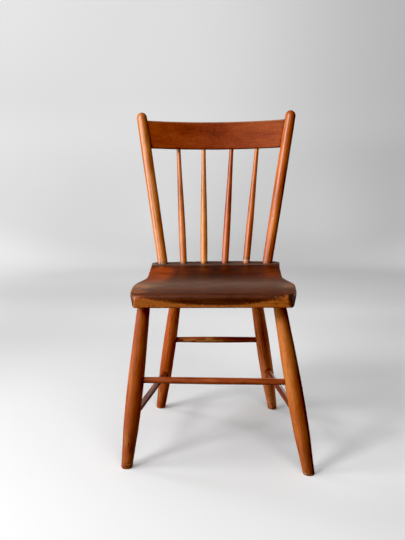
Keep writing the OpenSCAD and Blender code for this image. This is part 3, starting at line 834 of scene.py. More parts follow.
def crest_mesh(name, nx, nz, nt, r, g=0.0, wobble=True):
    loop = crest_loop(nz, nt, r, g)
    n = len(loop)
    rows = []
    edge = 3 + g * 4
    for k in range(nx + 1):
        s = k / nx
        s = s + 0.0
        xl = post_x("left_post", loop[:, 1]) - edge
        xr = post_x("right_post", loop[:, 1]) + edge
        x = xl + (xr - xl) * s
        t = loop[:, 0].copy()
        z = loop[:, 1].copy()
        if wobble:
            c = np.column_stack([x, t * 3, z])
            inner = sstep(0, 14, np.minimum(x - xl, xr - x))
            t = t * (1 - 0.018 * inner * (1 + noise(c, (60, 30, 40), 31)))
            mid = (CREST_Z + CREST_H / 2)
            z = mid + (z - mid) * (1 - 0.004 * inner * (1 + noise(np.column_stack([x, 0 * x, np.sign(z - mid) * 50]), (34, 10, 10), 32)))
        y = CREST_BOW - CREST_R + np.sqrt(CREST_R**2 - (x - 3) ** 2)
        phi = np.arcsin((x - 3) / CREST_R)
        rows.append(back_to_chair(np.column_stack([x + t * np.sin(phi) * 1.0, y + t * np.cos(phi), z])))
    pts = [np.vstack(rows)]
    faces = []
    for k in range(nx):
        for i in range(n):
            j = (i + 1) % n
            faces.append((k * n + i, (k + 1) * n + i, (k + 1) * n + j, k * n + j))
    base = (nx + 1) * n
    for end in (0, 1):
        row = rows[0] if end == 0 else rows[-1]
        c = row.mean(0)
        prev = 0 if end == 0 else nx * n
        for s in (0.93, 0.75, 0.45):
            pts.append(c + (row - c) * s)
            for i in range(n):
                j = (i + 1) % n
                f = (prev + i, prev + j, base + j, base + i)
                faces.append(f if end == 0 else f[::-1])
            prev = base
            base += n
        pts.append(c[None, :])
        for i in range(n):
            j = (i + 1) % n
            f = (prev + i, prev + j, base)
            faces.append(f if end == 0 else f[::-1])
        base += 1
    return make_object(name, np.vstack(pts), faces)


crest = crest_mesh("crest_rail_looks", 190, 34, 6, (2.6, 2.0))
cutters = []
for name, (a, b) in SPINDLE.items():
    d = unit(b - a)
    cutters.append(bore(b - d * 8, b + d * 13.5, 4.1, 28))
cut(crest, cutters)
p = points_of(crest)
qb = chair_to_back(p)
phi = np.arcsin(np.clip((qb[:, 0] - 3) / CREST_R, -1, 1))
s_arc = phi * CREST_R
t_out = np.hypot(qb[:, 0] - 3, qb[:, 1] - (CREST_BOW - CREST_R)) - CREST_R
zc = qb[:, 2]
grain = np.column_stack([t_out, zc, s_arc])
ze = np.minimum(zc - CREST_Z, CREST_Z + CREST_H - zc)
te = CREST_T / 2 - np.abs(t_out)
edge = (1 - sstep(0.4, 2.4, np.maximum(te, 0))) * (1 - sstep(0.4, 3.2, np.maximum(ze, 0)))
# the top arris is painted lighter in wear, grey and pale: partly rubbed finish, partly a painted highlight where the
# arris catches the light
topedge = (1 - sstep(0.6, 4.6, np.maximum(CREST_Z + CREST_H - zc, 0)))
wear_and_painted_light = 0.55 * edge * sstep(-0.5, 0.5, fbm(p, (18, 18, 6), 701, 3)) + 0.78 * topedge * (0.75 + 0.25 * noise(p, 9.0, 702))
wear_and_painted_light = wear_and_painted_light + 0.22 * sstep(0.2, 0.8, fbm(grain, (9, 9, 60), 703, 3)) * sstep(20, 150, qb[:, 0])
dirt_and_shade = 0.7 * np.maximum(near_line(p, *POST["left_post"], 14.5, 20), near_line(p, *POST["right_post"], 14.5, 20)) * (0.6 + 0.4 * noise(p, 6, 704))
for name, (a, b) in SPINDLE.items():
    dirt_and_shade = np.maximum(dirt_and_shade, 0.85 * near(p, b, 5.5, 9.5))
# painted shade: a dark line along the lower arris, which faces down away from the light
dirt_and_shade = dirt_and_shade + 0.35 * (1 - sstep(0, 1.5, zc - CREST_Z))
tone = 0.5 + 0.06 * fbm(p, (60, 60, 30), 705, 3) + 0.09 * sstep(0, 170, qb[:, 0]) - 0.05 * near(p, back_to_chair(V(-60, 30, 355))[0], 40, 120) \
    + 0.05 * (1 - sstep(-190, -140, qb[:, 0]))
scr = np.zeros(len(p))
front = t_out < 0
for x0, z0, r0 in ((-41.2, 368.2, 2.0), (-2.7, 370.1, 1.5), (-6.4, 359.2, 1.2), (60, 350, 1.2), (-130, 352, 1.1), (118, 372, 1.3)):
    d = np.hypot(qb[:, 0] - x0, (zc - z0) * 1.0)
    scr = np.maximum(scr, (1 - sstep(r0 * 0.6, r0 * 1.5, d)) * front)
zero = np.zeros(len(p))
finish_piece(crest, "crest_rail", grain, (wear_and_painted_light, zero, dirt_and_shade, tone), (zero, 0.25 * topedge, scr, 0.16 * topedge))


# ---- posts ----
def post(node, seed, dents=(), nseg=80):
    a, b = POST[node]
    L = np.linalg.norm(b - a)
    rt = 14.4
    st = [[0, 27.0], [0.2, 27.9], [0.5, 29.0], [0.8, 28.9], [1, 28.8]]

    def radius(t, th, p):
        r = smooth(st, np.clip(t, 0, None) / (L - rt)) / 2
        r = np.where(t < 4, 13.5, r)
        dome = np.clip((t - (L - rt)) / rt, 0, 1)
        r = np.where(t > L - rt, rt * np.sqrt(np.clip(1 - dome**2, 0, 1)), r)
        c = np.column_stack([np.cos(th) * 13, np.sin(th) * 13, t])
        hand = 0.13 * noise(c, (14, 14, 60), seed) + 0.04 * noise(c, (5, 5, 8), seed + 1) - 0.1
        hand = hand - 0.42 * sstep(L - rt, L - 3, t) * (1 + 0 * hand)
        hand = np.where(t > L - 3, np.minimum(hand, -0.45), hand)
        r = r + hand * sstep(2, 12, t) * (1 - 0.5 * sstep(L - rt, L, t)) * np.clip(r / 4, 0, 1)
        for (dt, ang, ln, wd, dep, tilt) in dents:
            q = np.column_stack([np.cos(th) * r, np.sin(th) * r, t])
            r = r - dep * spot(q, dt, ang, ln, wd, tilt)
        return np.maximum(r, 0.05)

    dome = L - rt + rt * np.sin(np.linspace(0, 1, 15)[1:-1] * math.pi / 2)
    levels = np.concatenate([spread((-20, -18, 0.7), (-18, 8, 2.0), (8, L - rt, 2.6)), dome, [L - 0.03]])
    pts, faces = rings(a, b, levels, radius, nseg, cap_rings=2)
    ob = make_object(node + "_looks", pts, faces)
    cut(ob, [crest_mesh("cutter", 60, 6, 2, (0.3, 0.3), 0.1, wobble=False)])
    p = points_of(ob)
    q = axis_coords(p, a, b)
    t = q[:, 2]
    wear_and_painted_light = 0.5 * sstep(0.05, 0.7, fbm(q, (14, 14, 80), seed + 2, 3)) + 0.35 * sstep(L - 12, L - 2, t) * (0.5 + 0.5 * noise(p, 6, seed + 3))
    ring_noise = 0.6 + 0.4 * noise(p, 4.0, seed + 4)
    dirt_and_shade = 0.85 * (1 - sstep(0.5, 6.5, t)) * ring_noise
    dirt_and_shade = np.maximum(dirt_and_shade, 0.6 * (1 - sstep(0, 26, t)) * sstep(0.1, 0.7, noise(q, (5, 5, 9), seed + 9)))
    tone = 0.5 + 0.12 * fbm(q, (20, 20, 130), seed + 5, 2)
    zero = np.zeros(len(p))
    scr = zero.copy()
    for (dt, ang, ln, wd, dep, tilt) in dents:
        scr = np.maximum(scr, spot(q, dt, ang, ln * 0.9, wd * 0.9, tilt) * min(1.0, dep * 1.8))
    # grime where the rail meets the post
    qb = chair_to_back(p)
    on = (qb[:, 2] > CREST_Z - 4) & (qb[:, 2] < CREST_Z + CREST_H + 4)
    gap = np.abs(qb[:, 1] - crest_mid_y(np.clip(qb[:, 0], -195, 200))) - CREST_T / 2
    side = 1 if node == "left_post" else -1
    inner = (q[:, 0] * side) > 2
    dirt_and_shade = np.maximum(dirt_and_shade, 0.8 * (1 - sstep(0, 4.5, np.abs(gap))) * on * inner)
    return ob, p, q, L, dict(wear_and_painted_light=wear_and_painted_light, bare=zero.copy(), dirt_and_shade=dirt_and_shade, tone=tone, red=zero.copy(), grey=zero.copy(), scratch=scr * 0.85,
                             pale=zero.copy())


ob, p, q, L, m = post("left_post", 600, dents=((210, -100, 5, 1.4, 0.25, 5), (300, -60, 7, 1.2, 0.25, 0), (120, -80, 4, 1.6, 0.25, 0),
                                               (385, -75, 3, 1.6, 0.3, 0), (330, 100, 5, 2, 0.3, 0)))
res = (1 - sstep(2.0, 6.0, q[:, 2])) * sstep(-0.1, 0.45, noise(p, (4, 4, 3), 601)) * (np.abs(polar(q) + 105) < 60)
m["grey"] = np.maximum(m["grey"], 0.9 * res)
m["dirt_and_shade"] *= 1 - 0.75 * res
hand_over("left_post", ob, q, m)
ob, p, q, L, m = post("right_post", 620, dents=((125.6, -112, 2.6, 1.8, 0.5, 0), (240, -95, 6, 1.3, 0.25, 0), (180, -70, 4, 1.3, 0.25, 0),
                                                (330, -120, 5, 1.6, 0.25, 8), (300, 80, 5, 2, 0.3, 0)))
res = (1 - sstep(3.0, 8.5, q[:, 2])) * sstep(-0.2, 0.35, noise(p, (4, 4, 4), 621)) * (np.abs(polar(q) + 118) < 42)
m["grey"] = np.maximum(m["grey"], 1.0 * res)
m["dirt_and_shade"] *= 1 - 0.85 * res
hand_over("right_post", ob, q, m)


# ---- spindles ----
def spindle(node, seed, nseg=48):
    a, b = SPINDLE[node]
    L = np.linalg.norm(b - a)
    sd, td, fd, ten = 19.2, 11.6, 19.2 * 0.96, 8.0
    st = [[0, fd], [0.15, sd], [0.35, sd * 0.97], [0.6, td + (sd - td) * 0.56], [0.8, td + (sd - td) * 0.2], [1, td]]
    h = L - 1.1

    def radius(t, th, p):
        r = smooth(st, np.clip(t, 0, None) / L) / 2
        r = np.where(t < 3, fd / 2, r)
        c = np.column_stack([np.cos(th) * 8, np.sin(th) * 8, t])
        hand = 0.10 * noise(c, (8, 8, 45), seed) + 0.03 * noise(c, (4, 4, 7), seed + 1) - 0.05
        r = r + hand * sstep(2, 10, t) * (1 - sstep(h - 8, h - 1, t))
        r = r - 0.6 * sstep(h - 0.9, h, t)
        return np.where(t > h + 0.01, ten / 2, r)

    levels = np.concatenate([spread((-16, 8, 2.0), (8, h - 4, 2.6), (h - 4, h, 0.6)), [h + 0.02], spread((h + 1.5, L + 13, 2.2))])
    pts, faces = rings(a, b, levels, radius, nseg, cap_rings=3)
    ob = make_object(node + "_looks", pts, faces)
    p = points_of(ob)
    q = axis_coords(p, a, b)
    t = q[:, 2]
    wear_and_painted_light = 0.45 * sstep(0.1, 0.7, fbm(q, (9, 9, 70), seed + 2, 3))
    dirt_and_shade = 0.8 * (1 - sstep(0.3, 4.0, t)) * (0.6 + 0.4 * noise(p, 3.0, seed + 3)) + 0.75 * sstep(h - 4, h - 0.5, t) * (0.65 + 0.35 * noise(p, 3.0, seed + 4))
    tone = 0.5 + 0.12 * fbm(q, (12, 12, 110), seed + 5, 2)
    zero = np.zeros(len(p))
    return ob, p, q, L, dict(wear_and_painted_light=wear_and_painted_light, bare=zero.copy(), dirt_and_shade=dirt_and_shade, tone=tone, red=zero.copy(), grey=zero.copy(), scratch=zero.copy(),
                             pale=zero.copy())


for i in range(4):
    node = "spindle_%d" % (i + 1)
    ob, p, q, L, m = spindle(node, 800 + 20 * i)
    t = q[:, 2]
    if i == 0:
        m["dirt_and_shade"] = np.maximum(m["dirt_and_shade"], 0.95 * spot(q, L - 6, -90, 5.0, 3.2, 0))
        m["wear_and_painted_light"] = np.maximum(m["wear_and_painted_light"], 0.5 * (1 - sstep(0, 30, t)))
    if i == 1:
        m["wear_and_painted_light"] = np.maximum(m["wear_and_painted_light"], 0.5 * sstep(-0.3, 0.5, fbm(q, (7, 7, 60), 901, 2)))
    if i == 3:
        m["pale"] = np.maximum(m["pale"], 0.5 * (1 - sstep(3.5, 8.5, t)) * sstep(0.5, 3.5, t) * (np.abs(polar(q) + 105) < 60))
        m["dirt_and_shade"] *= 1 - 0.8 * (1 - sstep(4, 8, t))
        m["scratch"] = np.maximum(m["scratch"], 0.5 * (1 - sstep(1.0, 2.0, np.abs(t - 12))))
    hand_over(node, ob, q, m)


# ---- seat ----
EDGE = [[-178, 193.5], [-140, 197.5], [-95, 199.5], [-53, 199.2], [-27, 192.7], [-5, 182.3], [20, 173.7], [60, 172.0], [120, 172.0], [182, 174.5]]
TOP = [[-178, 33], [-150, 30], [-110, 27.5], [-70, 26.5], [-25, 27], [15, 29.3], [55, 33], [95, 36.5], [134, 39]]
FRONT_Y, REAR_Y, BOW = -190.0, 182.0, 15.0
# small dents and knocks in the top: x, y, radius, depth
rng = np.random.default_rng(7)
DENTS = [(rng.uniform(-175, 175), rng.uniform(-175, 120), rng.uniform(3.5, 8), rng.uniform(0.12, 0.38)) for _ in range(34)]
KNOCKS = [(-120.7, -189.8, 434.0, 3.6, 2.6), (-60, -189.6, 433.0, 3.0, 1.1), (20, -190, 433.6, 3.4, 0.9), (96, -190, 432.6, 3.0, 1.0),
          (145.7, -190, 431.2, 2.6, 1.4), (165.3, -190.5, 431.6, 5.0, 2.4), (183.0, -188.0, 430.0, 6.0, 2.8), (-181, -187, 431.0, 6.5, 2.4),
          (-150, -189.5, 432.0, 3.0, 1.2), (60, -190, 403.0, 4.0, 1.0), (-95, -190, 402.6, 4.5, 1.2), (150, -189, 403.0, 4.0, 1.2),
          (-196, -120, 426.0, 4.0, 1.2), (199, -88, 426.0, 5.0, 1.4), (199, -140, 425.0, 4.0, 1.2), (-172, 80, 436.0, 4.0, 1.0),
          (172, 130, 438.5, 4.0, 1.2), (-60, 196.0, 438.0, 4.0, 1.2), (90, 193.0, 438.5, 4.5, 1.3), (-174, 182, 437.5, 5.0, 1.6),
          (172, 181, 437.0, 5.0, 1.8)]


def rmax(a, b, r):
    """Intersection of two solids with an edge rounded to radius r."""
    return np.minimum(np.maximum(a, b), -r) + np.hypot(np.maximum(a + r, 0), np.maximum(b + r, 0))


def seat_f(p):
    x, y, z = p[:, 0], p[:, 1], p[:, 2]
    ax = np.abs(x)
    wy = smooth(EDGE, np.clip(y, -178, 182))
    slope = (smooth(EDGE, np.clip(y + 1, -178, 182)) - smooth(EDGE, np.clip(y - 1, -178, 182))) / 2
    lean = 4.6 / 25.0 * np.maximum(424.0 - z, 0) - 0.9
    side = (ax - wy + lean) / np.sqrt(1 + slope**2)
    front = FRONT_Y - y + np.clip((424 - z) * 0.235, 0, 6.0)
    front = front + 0.25 * noise(np.column_stack([x, 0 * x, z]), (60, 10, 20), 50)
    rear_line = REAR_Y + BOW * (1 - np.minimum((x / 172.0) ** 2, 1.0))
    rear = (y - rear_line + 0.05 * np.maximum(420 - z, 0)) / np.sqrt(1 + (2 * BOW * np.clip(x, -172, 172) / 172.0**2) ** 2)
    t = SEAT_UNDER + np.where(y > 134, 39.0, smooth(TOP, np.clip(y, -178, 134)))
    # the ledge meets the slope in a soft line
    t = t - 0.25 * np.exp(-((y - 134) / 5.0) ** 2)
    t = t + 0.9 * (1 - sstep(8, 40, wy - ax)) * sstep(-150, -110, y) + 0.8 * np.clip(x / 170, -1, 1) * sstep(100, 180, y)
    # rubbed hollows of the dish and the hand-planed unevenness
    t = t - 0.35 * (0.5 + 0.5 * noise(np.column_stack([x, y, 0 * x]), (70, 34, 10), 51)) - 0.10 * (0.5 + 0.5 * noise(np.column_stack([x, y, 0 * x]), (16, 11, 10), 52))
    for dx, dy, r, dep in DENTS:
        t = t - dep * np.exp(-(((x - dx) / r) ** 2 + ((y - dy) / r) ** 2))
    top = (z - t) / 1.01
    bottom = SEAT_UNDER - z
    # flat-cut front corners: an arris against the front face, a soft turn into the side
    facet = (ax - 183.3) * 0.845 - (y - FRONT_Y) * 0.535 + 0.03 * np.maximum(424 - z, 0)
    out = rmax(front, facet, 1.3)
    out = rmax(out, side, 6.0)
    out = rmax(out, rear, 9.0)
    r_top = 2.6 + 4.4 * (1 - sstep(-179, -155, y)) + 0.7 * noise(np.column_stack([x, y, 0 * x]), (24, 24, 10), 53)
    f = rmax(out, top, np.maximum(r_top, 1.6))
    f = rmax(f, bottom, 1.5)
    for kx, ky, kz, r, dep in KNOCKS:
        d = np.linalg.norm(p - np.array([kx, ky, kz]), axis=1)
        f = f + dep * np.exp(-(d / r) ** 2)
    return f


def graded(lo, hi, step, ends):
    """Coordinates from lo to hi, finer near both ends."""
    e = np.array(ends, float)
    inner = np.linspace(lo + e[-1], hi - e[-1], max(2, int(round((hi - lo - 2 * e[-1]) / step)) + 1))
    return np.concatenate([[lo], lo + e[:-1], inner, (hi - e[:-1])[::-1], [hi]])


gx = graded(-1.0, 1.0, 0.0126, (0.0045, 0.010, 0.0165, 0.0245, 0.034))
gy = graded(-190.0, 197.0, 2.45, (0.9, 2.0, 3.4, 5.1, 7.1))
gz = graded(0.0, 1.0, 0.085, (0.028, 0.07))
nx, ny, nz = len(gx), len(gy), len(gz)
index = -np.ones((nx, ny, nz), int)
I, J, K = np.meshgrid(np.arange(nx), np.arange(ny), np.arange(nz), indexing="ij")
shell = (I == 0) | (I == nx - 1) | (J == 0) | (J == ny - 1) | (K == 0) | (K == nz - 1)
index[shell] = np.arange(shell.sum())
i_, j_, k_ = I[shell], J[shell], K[shell]
y = gy[j_]
wy = smooth(EDGE, np.clip(y, -178, 182))
# pull the grid's plan in at the front corners and to the bowed back
cornered = np.where(y < -179, np.sqrt(np.clip(11.0**2 - (np.clip(-179 - y, 0, 11)) ** 2, 0, None)) - 11.0, 0.0)
hx = wy + cornered * 0.6
x = gx[i_] * hx
back_limit = REAR_Y + BOW * (1 - np.minimum((x / 172.0) ** 2, 1.0))
squeeze = (back_limit - 60.0) / (197.0 - 60.0)
y = np.where(y > 60, 60 + (y - 60) * squeeze, y)
t = SEAT_UNDER + np.where(y > 134, 39.0, smooth(TOP, np.clip(y, -178, 134)))
z = SEAT_UNDER + (t - SEAT_UNDER) * gz[k_]
pts = np.column_stack([x, y, z])
for it in range(14):
    f = seat_f(pts)
    h = 0.05
    gr = np.column_stack([(seat_f(pts + np.array(d)) - seat_f(pts - np.array(d))) / (2 * h) for d in ((h, 0, 0), (0, h, 0), (0, 0, h))])
    gl = np.maximum((gr**2).sum(1), 0.25)
    pts = pts - np.clip(f / gl, -3, 3)[:, None] * gr
pts[:, 2] = np.maximum(pts[:, 2], SEAT_UNDER)
faces = []


def quad(grid, flip):
    a, b, c, d = grid[:-1, :-1].ravel(), grid[1:, :-1].ravel(), grid[1:, 1:].ravel(), grid[:-1, 1:].ravel()
    q_ = np.column_stack([a, b, c, d] if not flip else [a, d, c, b])
    faces.extend(map(tuple, q_.tolist()))


quad(index[:, :, nz - 1], False)
quad(index[:, :, 0], True)
quad(index[:, 0, :], False)
quad(index[:, ny - 1, :], True)
quad(index[0, :, :], True)
quad(index[nx - 1, :, :], False)
seat = make_object("seat_looks", pts, faces)
cutters = []
for name, (a, b, _, md) in LEG.items():
    d = unit(b - a)
    cutters.append(bore(b - d * 12, b + d * 15.5, md * 0.385 + 0.1, 56))
for name, (a, b) in POST.items():
    d = unit(b - a)
    cutters.append(bore(a - d * 20.5, a + d * 12, 13.6, 56))
for name, (a, b) in SPINDLE.items():
    d = unit(b - a)
    cutters.append(bore(a - d * 16.5, a + d * 8, 19.2 * 0.48 + 0.1, 40))
cut(seat, cutters)
p = points_of(seat)
x, y, z = p[:, 0], p[:, 1], p[:, 2]
P2 = np.column_stack([x, y, 0 * x])
on_front = (1 - sstep(-184.5, -178, y)) * sstep(400.5, 403, z)
xw = x + 12 * noise(p, (26, 10, 7), 60) + 6 * noise(p, (9, 9, 4), 61)
left_lim = np.interp(z, (404.0, 409.0, 414.0, 421.0, 428.0, 434.0), (60.0, -30.0, -84.0, -112.0, -168.0, -196.0))
right_lim = np.interp(z, (404.0, 409.0, 414.0, 421.0, 428.0, 434.0), (-20.0, 50.0, 84.0, 118.0, 146.0, 176.0))
left_gold = (1 - sstep(-60, 60, xw - left_lim)) * sstep(-192, -182, x)
right_gold = sstep(-58, 50, xw - right_lim) * (1 - sstep(172, 184, x))
low_gold = 0.5 * (1 - sstep(403, 411, z + 3 * noise(p, (22, 10, 10), 62))) * (1 - 0.6 * np.exp(-((x - 5) / 70.0) ** 2))
wear_and_painted_light = on_front * np.clip(0.84 * left_gold + 0.80 * right_gold + low_gold, 0, 0.9) * (0.84 + 0.16 * noise(p, (6, 5, 3), 80) + 0.1 * noise(p, (15, 9, 5), 84))
# rubbed arrises: round the top, along the lower front edge, and the ledge's rim
wt = smooth(EDGE, np.clip(y, -178, 182))
rim = (1 - sstep(2.0, 6.5, wt - np.abs(x))) * (z > 405)
wear_and_painted_light = np.maximum(wear_and_painted_light, 0.34 * rim * sstep(-0.3, 0.5, fbm(p, (20, 20, 8), 63, 3)))
wear_and_painted_light = np.maximum(wear_and_painted_light, 0.62 * (1 - sstep(401.0, 404.0, z)) * (y < -180) * sstep(-0.6, 0.3, noise(p, (20, 9, 9), 64)))
# the deck's front corners are rubbed lighter
deck = (z > 420) * 1.0
wear_and_painted_light = np.maximum(wear_and_painted_light, 0.45 * deck * near(P2, (-186, -150, 0), 8, 46) * sstep(-0.4, 0.5, fbm(p, (18, 18, 8), 65, 3)))
wear_and_painted_light = np.maximum(wear_and_painted_light, 0.30 * deck * near(P2, (186, -120, 0), 10, 44) * sstep(-0.4, 0.5, fbm(p, (18, 18, 8), 66, 3)))
wing = deck * (1 - sstep(6, 40, wt - np.abs(x))) * sstep(-150, -110, y) * (1 - sstep(-34, -6, y))
wear_and_painted_light = np.maximum(wear_and_painted_light, 0.5 * wing * sstep(-0.6, 0.3, fbm(p, (22, 16, 8), 79, 3)))
red = deck * near_line(P2, (-142, 84, 0), (-158, 6, 0), 20, 52) * (1 - sstep(128, 138, y)) * (0.75 + 0.25 * noise(p, (30, 30, 10), 67))
red = np.maximum(red, 0.3 * deck * near(P2, (158, 42, 0), 10, 44))
red = np.maximum(red, 0.28 * deck * sstep(30, 90, y) * (1 - sstep(126, 138, y)) * sstep(-0.2, 0.6, fbm(p, (50, 24, 10), 68, 3)))
red = np.maximum(red, 0.35 * on_front * (1 - sstep(-176, -140, x)) * sstep(412, 424, z))
# painted sheen: the grey band across the dish and the grey on the ledge are a painted reflection
grey = deck * 0.72 * np.exp(-((y + 42) / np.where(y > -42, 38.0, 60.0)) ** 2) * (0.78 + 0.22 * noise(p, (34, 14, 10), 69))
ledge = sstep(134, 140, y) * (z > 430)
grey = np.maximum(grey, 0.04 * on_front + 0.3 * on_front * (1 - sstep(404, 411, z)) * np.exp(-((x - 5) / 90.0) ** 2))
grey = np.maximum(grey, 0.72 * ledge * (0.66 + 0.34 * noise(p, (30, 8, 10), 70)))
left_wing = deck * near(P2, (-180, -66, 0), 12, 56)
right_wing = deck * near(P2, (186, -72, 0), 8, 44)
wear_and_painted_light = np.maximum(wear_and_painted_light, 0.58 * left_wing + 0.5 * right_wing)
corner = deck * near(P2, (-186, -134, 0), 16, 56) * (0.8 + 0.2 * noise(p, (14, 12, 8), 82))
wear_and_painted_light = np.maximum(wear_and_painted_light, 0.68 * corner)
wear_and_painted_light = np.maximum(wear_and_painted_light, 0.46 * deck * near(P2, (176, -138, 0), 14, 60) * (0.8 + 0.2 * noise(p, (14, 12, 8), 83)))
dirt_and_shade = 0.55 * np.exp(-((y - 137) / 2.6) ** 2) * (z > 430) * sstep(-0.5, 0.4, noise(p, (16, 8, 8), 71))
for name, (a, b) in POST.items():
    dirt_and_shade = np.maximum(dirt_and_shade, 0.9 * near_line(p, a, b, 14.6, 18.5) * (z > 430))
for name, (a, b) in SPINDLE.items():
    dirt_and_shade = np.maximum(dirt_and_shade, 0.85 * near_line(p, a, b, 10.2, 13.0) * (z > 430))
# round the legs under the seat: joint grime and painted shade
for name, (a, b, _, md) in LEG.items():
    dirt_and_shade = np.maximum(dirt_and_shade, 0.8 * near_line(p, a, b, md * 0.385 + 0.6, md * 0.385 + 5) * (z < 405))
# dark band along the top of the front face and the middle of it
dirt_and_shade = np.maximum(dirt_and_shade, 0.30 * on_front * sstep(424, 430, z + 1.5 * noise(p, (16, 9, 9), 77)) * (1 - sstep(434, 437, z)) * sstep(-0.8, 0.1, noise(p, (34, 9, 9), 72)))
mid_front = np.exp(-((x - 66) / 34.0) ** 2) * on_front * sstep(408, 420, z + 4 * noise(p, (20, 9, 9), 73))
dirt_and_shade = np.maximum(dirt_and_shade, 0.30 * mid_front)
dirt_and_shade = np.maximum(dirt_and_shade, 0.85 * near(p, (165.3, -189, 430.5), 3.0, 7.0))
# the right front corner is painted dark: partly stain, partly painted shade on the side turned from the light
dirt_and_shade = np.maximum(dirt_and_shade, 0.72 * near(p, (186.5, -186, 425), 6, 15) * (z > 404))
dirt_and_shade = np.maximum(dirt_and_shade, 0.5 * near(p, (190, -184, 408), 5, 14))
pale_wing = 0.30 * left_wing + 0.16 * right_wing + 0.10 * corner
scr = 0.6 * near(p, (-54, 158, 439), 2.4, 4.5) + 0.5 * near(p, (-100, -120, 427), 2, 4)
pale = 0.75 * near_line(p, (-123.5, -189.2, 436.2), (-119.4, -190.5, 433.8), 0.9, 2.1) + 0.75 * near_line(p, (-119.4, -190.5, 433.8), (-116.0, -189.2, 436.0), 0.8, 1.9)
# painted highlight: the pale arc round the front face's top left corner
pale = np.maximum(pale, 0.55 * near_line(p, (-184.6, -188.0, 424.5), (-180.5, -188.2, 430.6), 1.0, 2.2))
pale = np.maximum(pale, 0.5 * near_line(p, (-180.5, -188.2, 430.6), (-173.0, -188.6, 432.4), 0.8, 1.9))
pale = np.maximum(pale, 0.4 * near_line(p, (145.7, -189.6, 433), (146.2, -190, 427.5), 0.7, 1.7))
# painted highlight: the back left corner of the ledge is painted pale where it catches the light
pale = np.maximum(pale, 0.3 * near(p, (-172, 150, 439), 6, 26) * (z > 434))
pale = np.maximum(pale, pale_wing * (0.7 + 0.3 * noise(p, (12, 12, 8), 81)))
bare = 0.4 * near(p, (-187.5, -181, 428.5), 2.0, 4.5) * sstep(-0.3, 0.4, noise(p, 3.0, 74))
bare = np.maximum(bare, 0.35 * (1 - sstep(400.9, 402.6, z)) * (y < -181) * sstep(0.0, 0.6, noise(p, (16, 9, 9), 75)))
under = 1 - sstep(400.4, 402, z)
tone = 0.5 + 0.10 * fbm(p, (46, 46, 14), 76, 3) + 0.16 * on_front + 0.10 * deck * (1 - sstep(60, 170, 190 - np.abs(x))) + 0.08 * deck * (1 - sstep(-120, -60, y)) + 0.10 * under
# painted shade: the middle of the ramp is painted darker
tone = tone - 0.10 * deck * np.exp(-((y + 168) / 16.0) ** 2) - 0.08 * deck * near(P2, (10, 84, 0), 40, 110)
# painted light: the side walls are painted lighter
painted_light_side_walls = sstep(-6, -1.5, np.abs(x) - wt) * (z > 402) * (z < 430)
tone = tone + 0.22 * painted_light_side_walls
# fibres run from side to side; on the front they show as short flecks
# the patches break up along the grain
along = fbm(p, (64, 9, 9), 91, 3)
red = red * np.clip(0.9 + 0.55 * along, 0.25, 1.2)
# the grey added at the front of the dish is more of the painted sheen
grey = grey * np.clip(1.04 + 0.4 * fbm(p, (50, 12, 9), 92, 3), 0.3, 1.2) + 0.12 * deck * (1 - sstep(20, 60, y)) * sstep(-178, -150, y)
finish_piece(seat, "seat", np.column_stack([y, z * 1.0, x]), (wear_and_painted_light, bare, dirt_and_shade, tone), (red, grey, scr, pale))


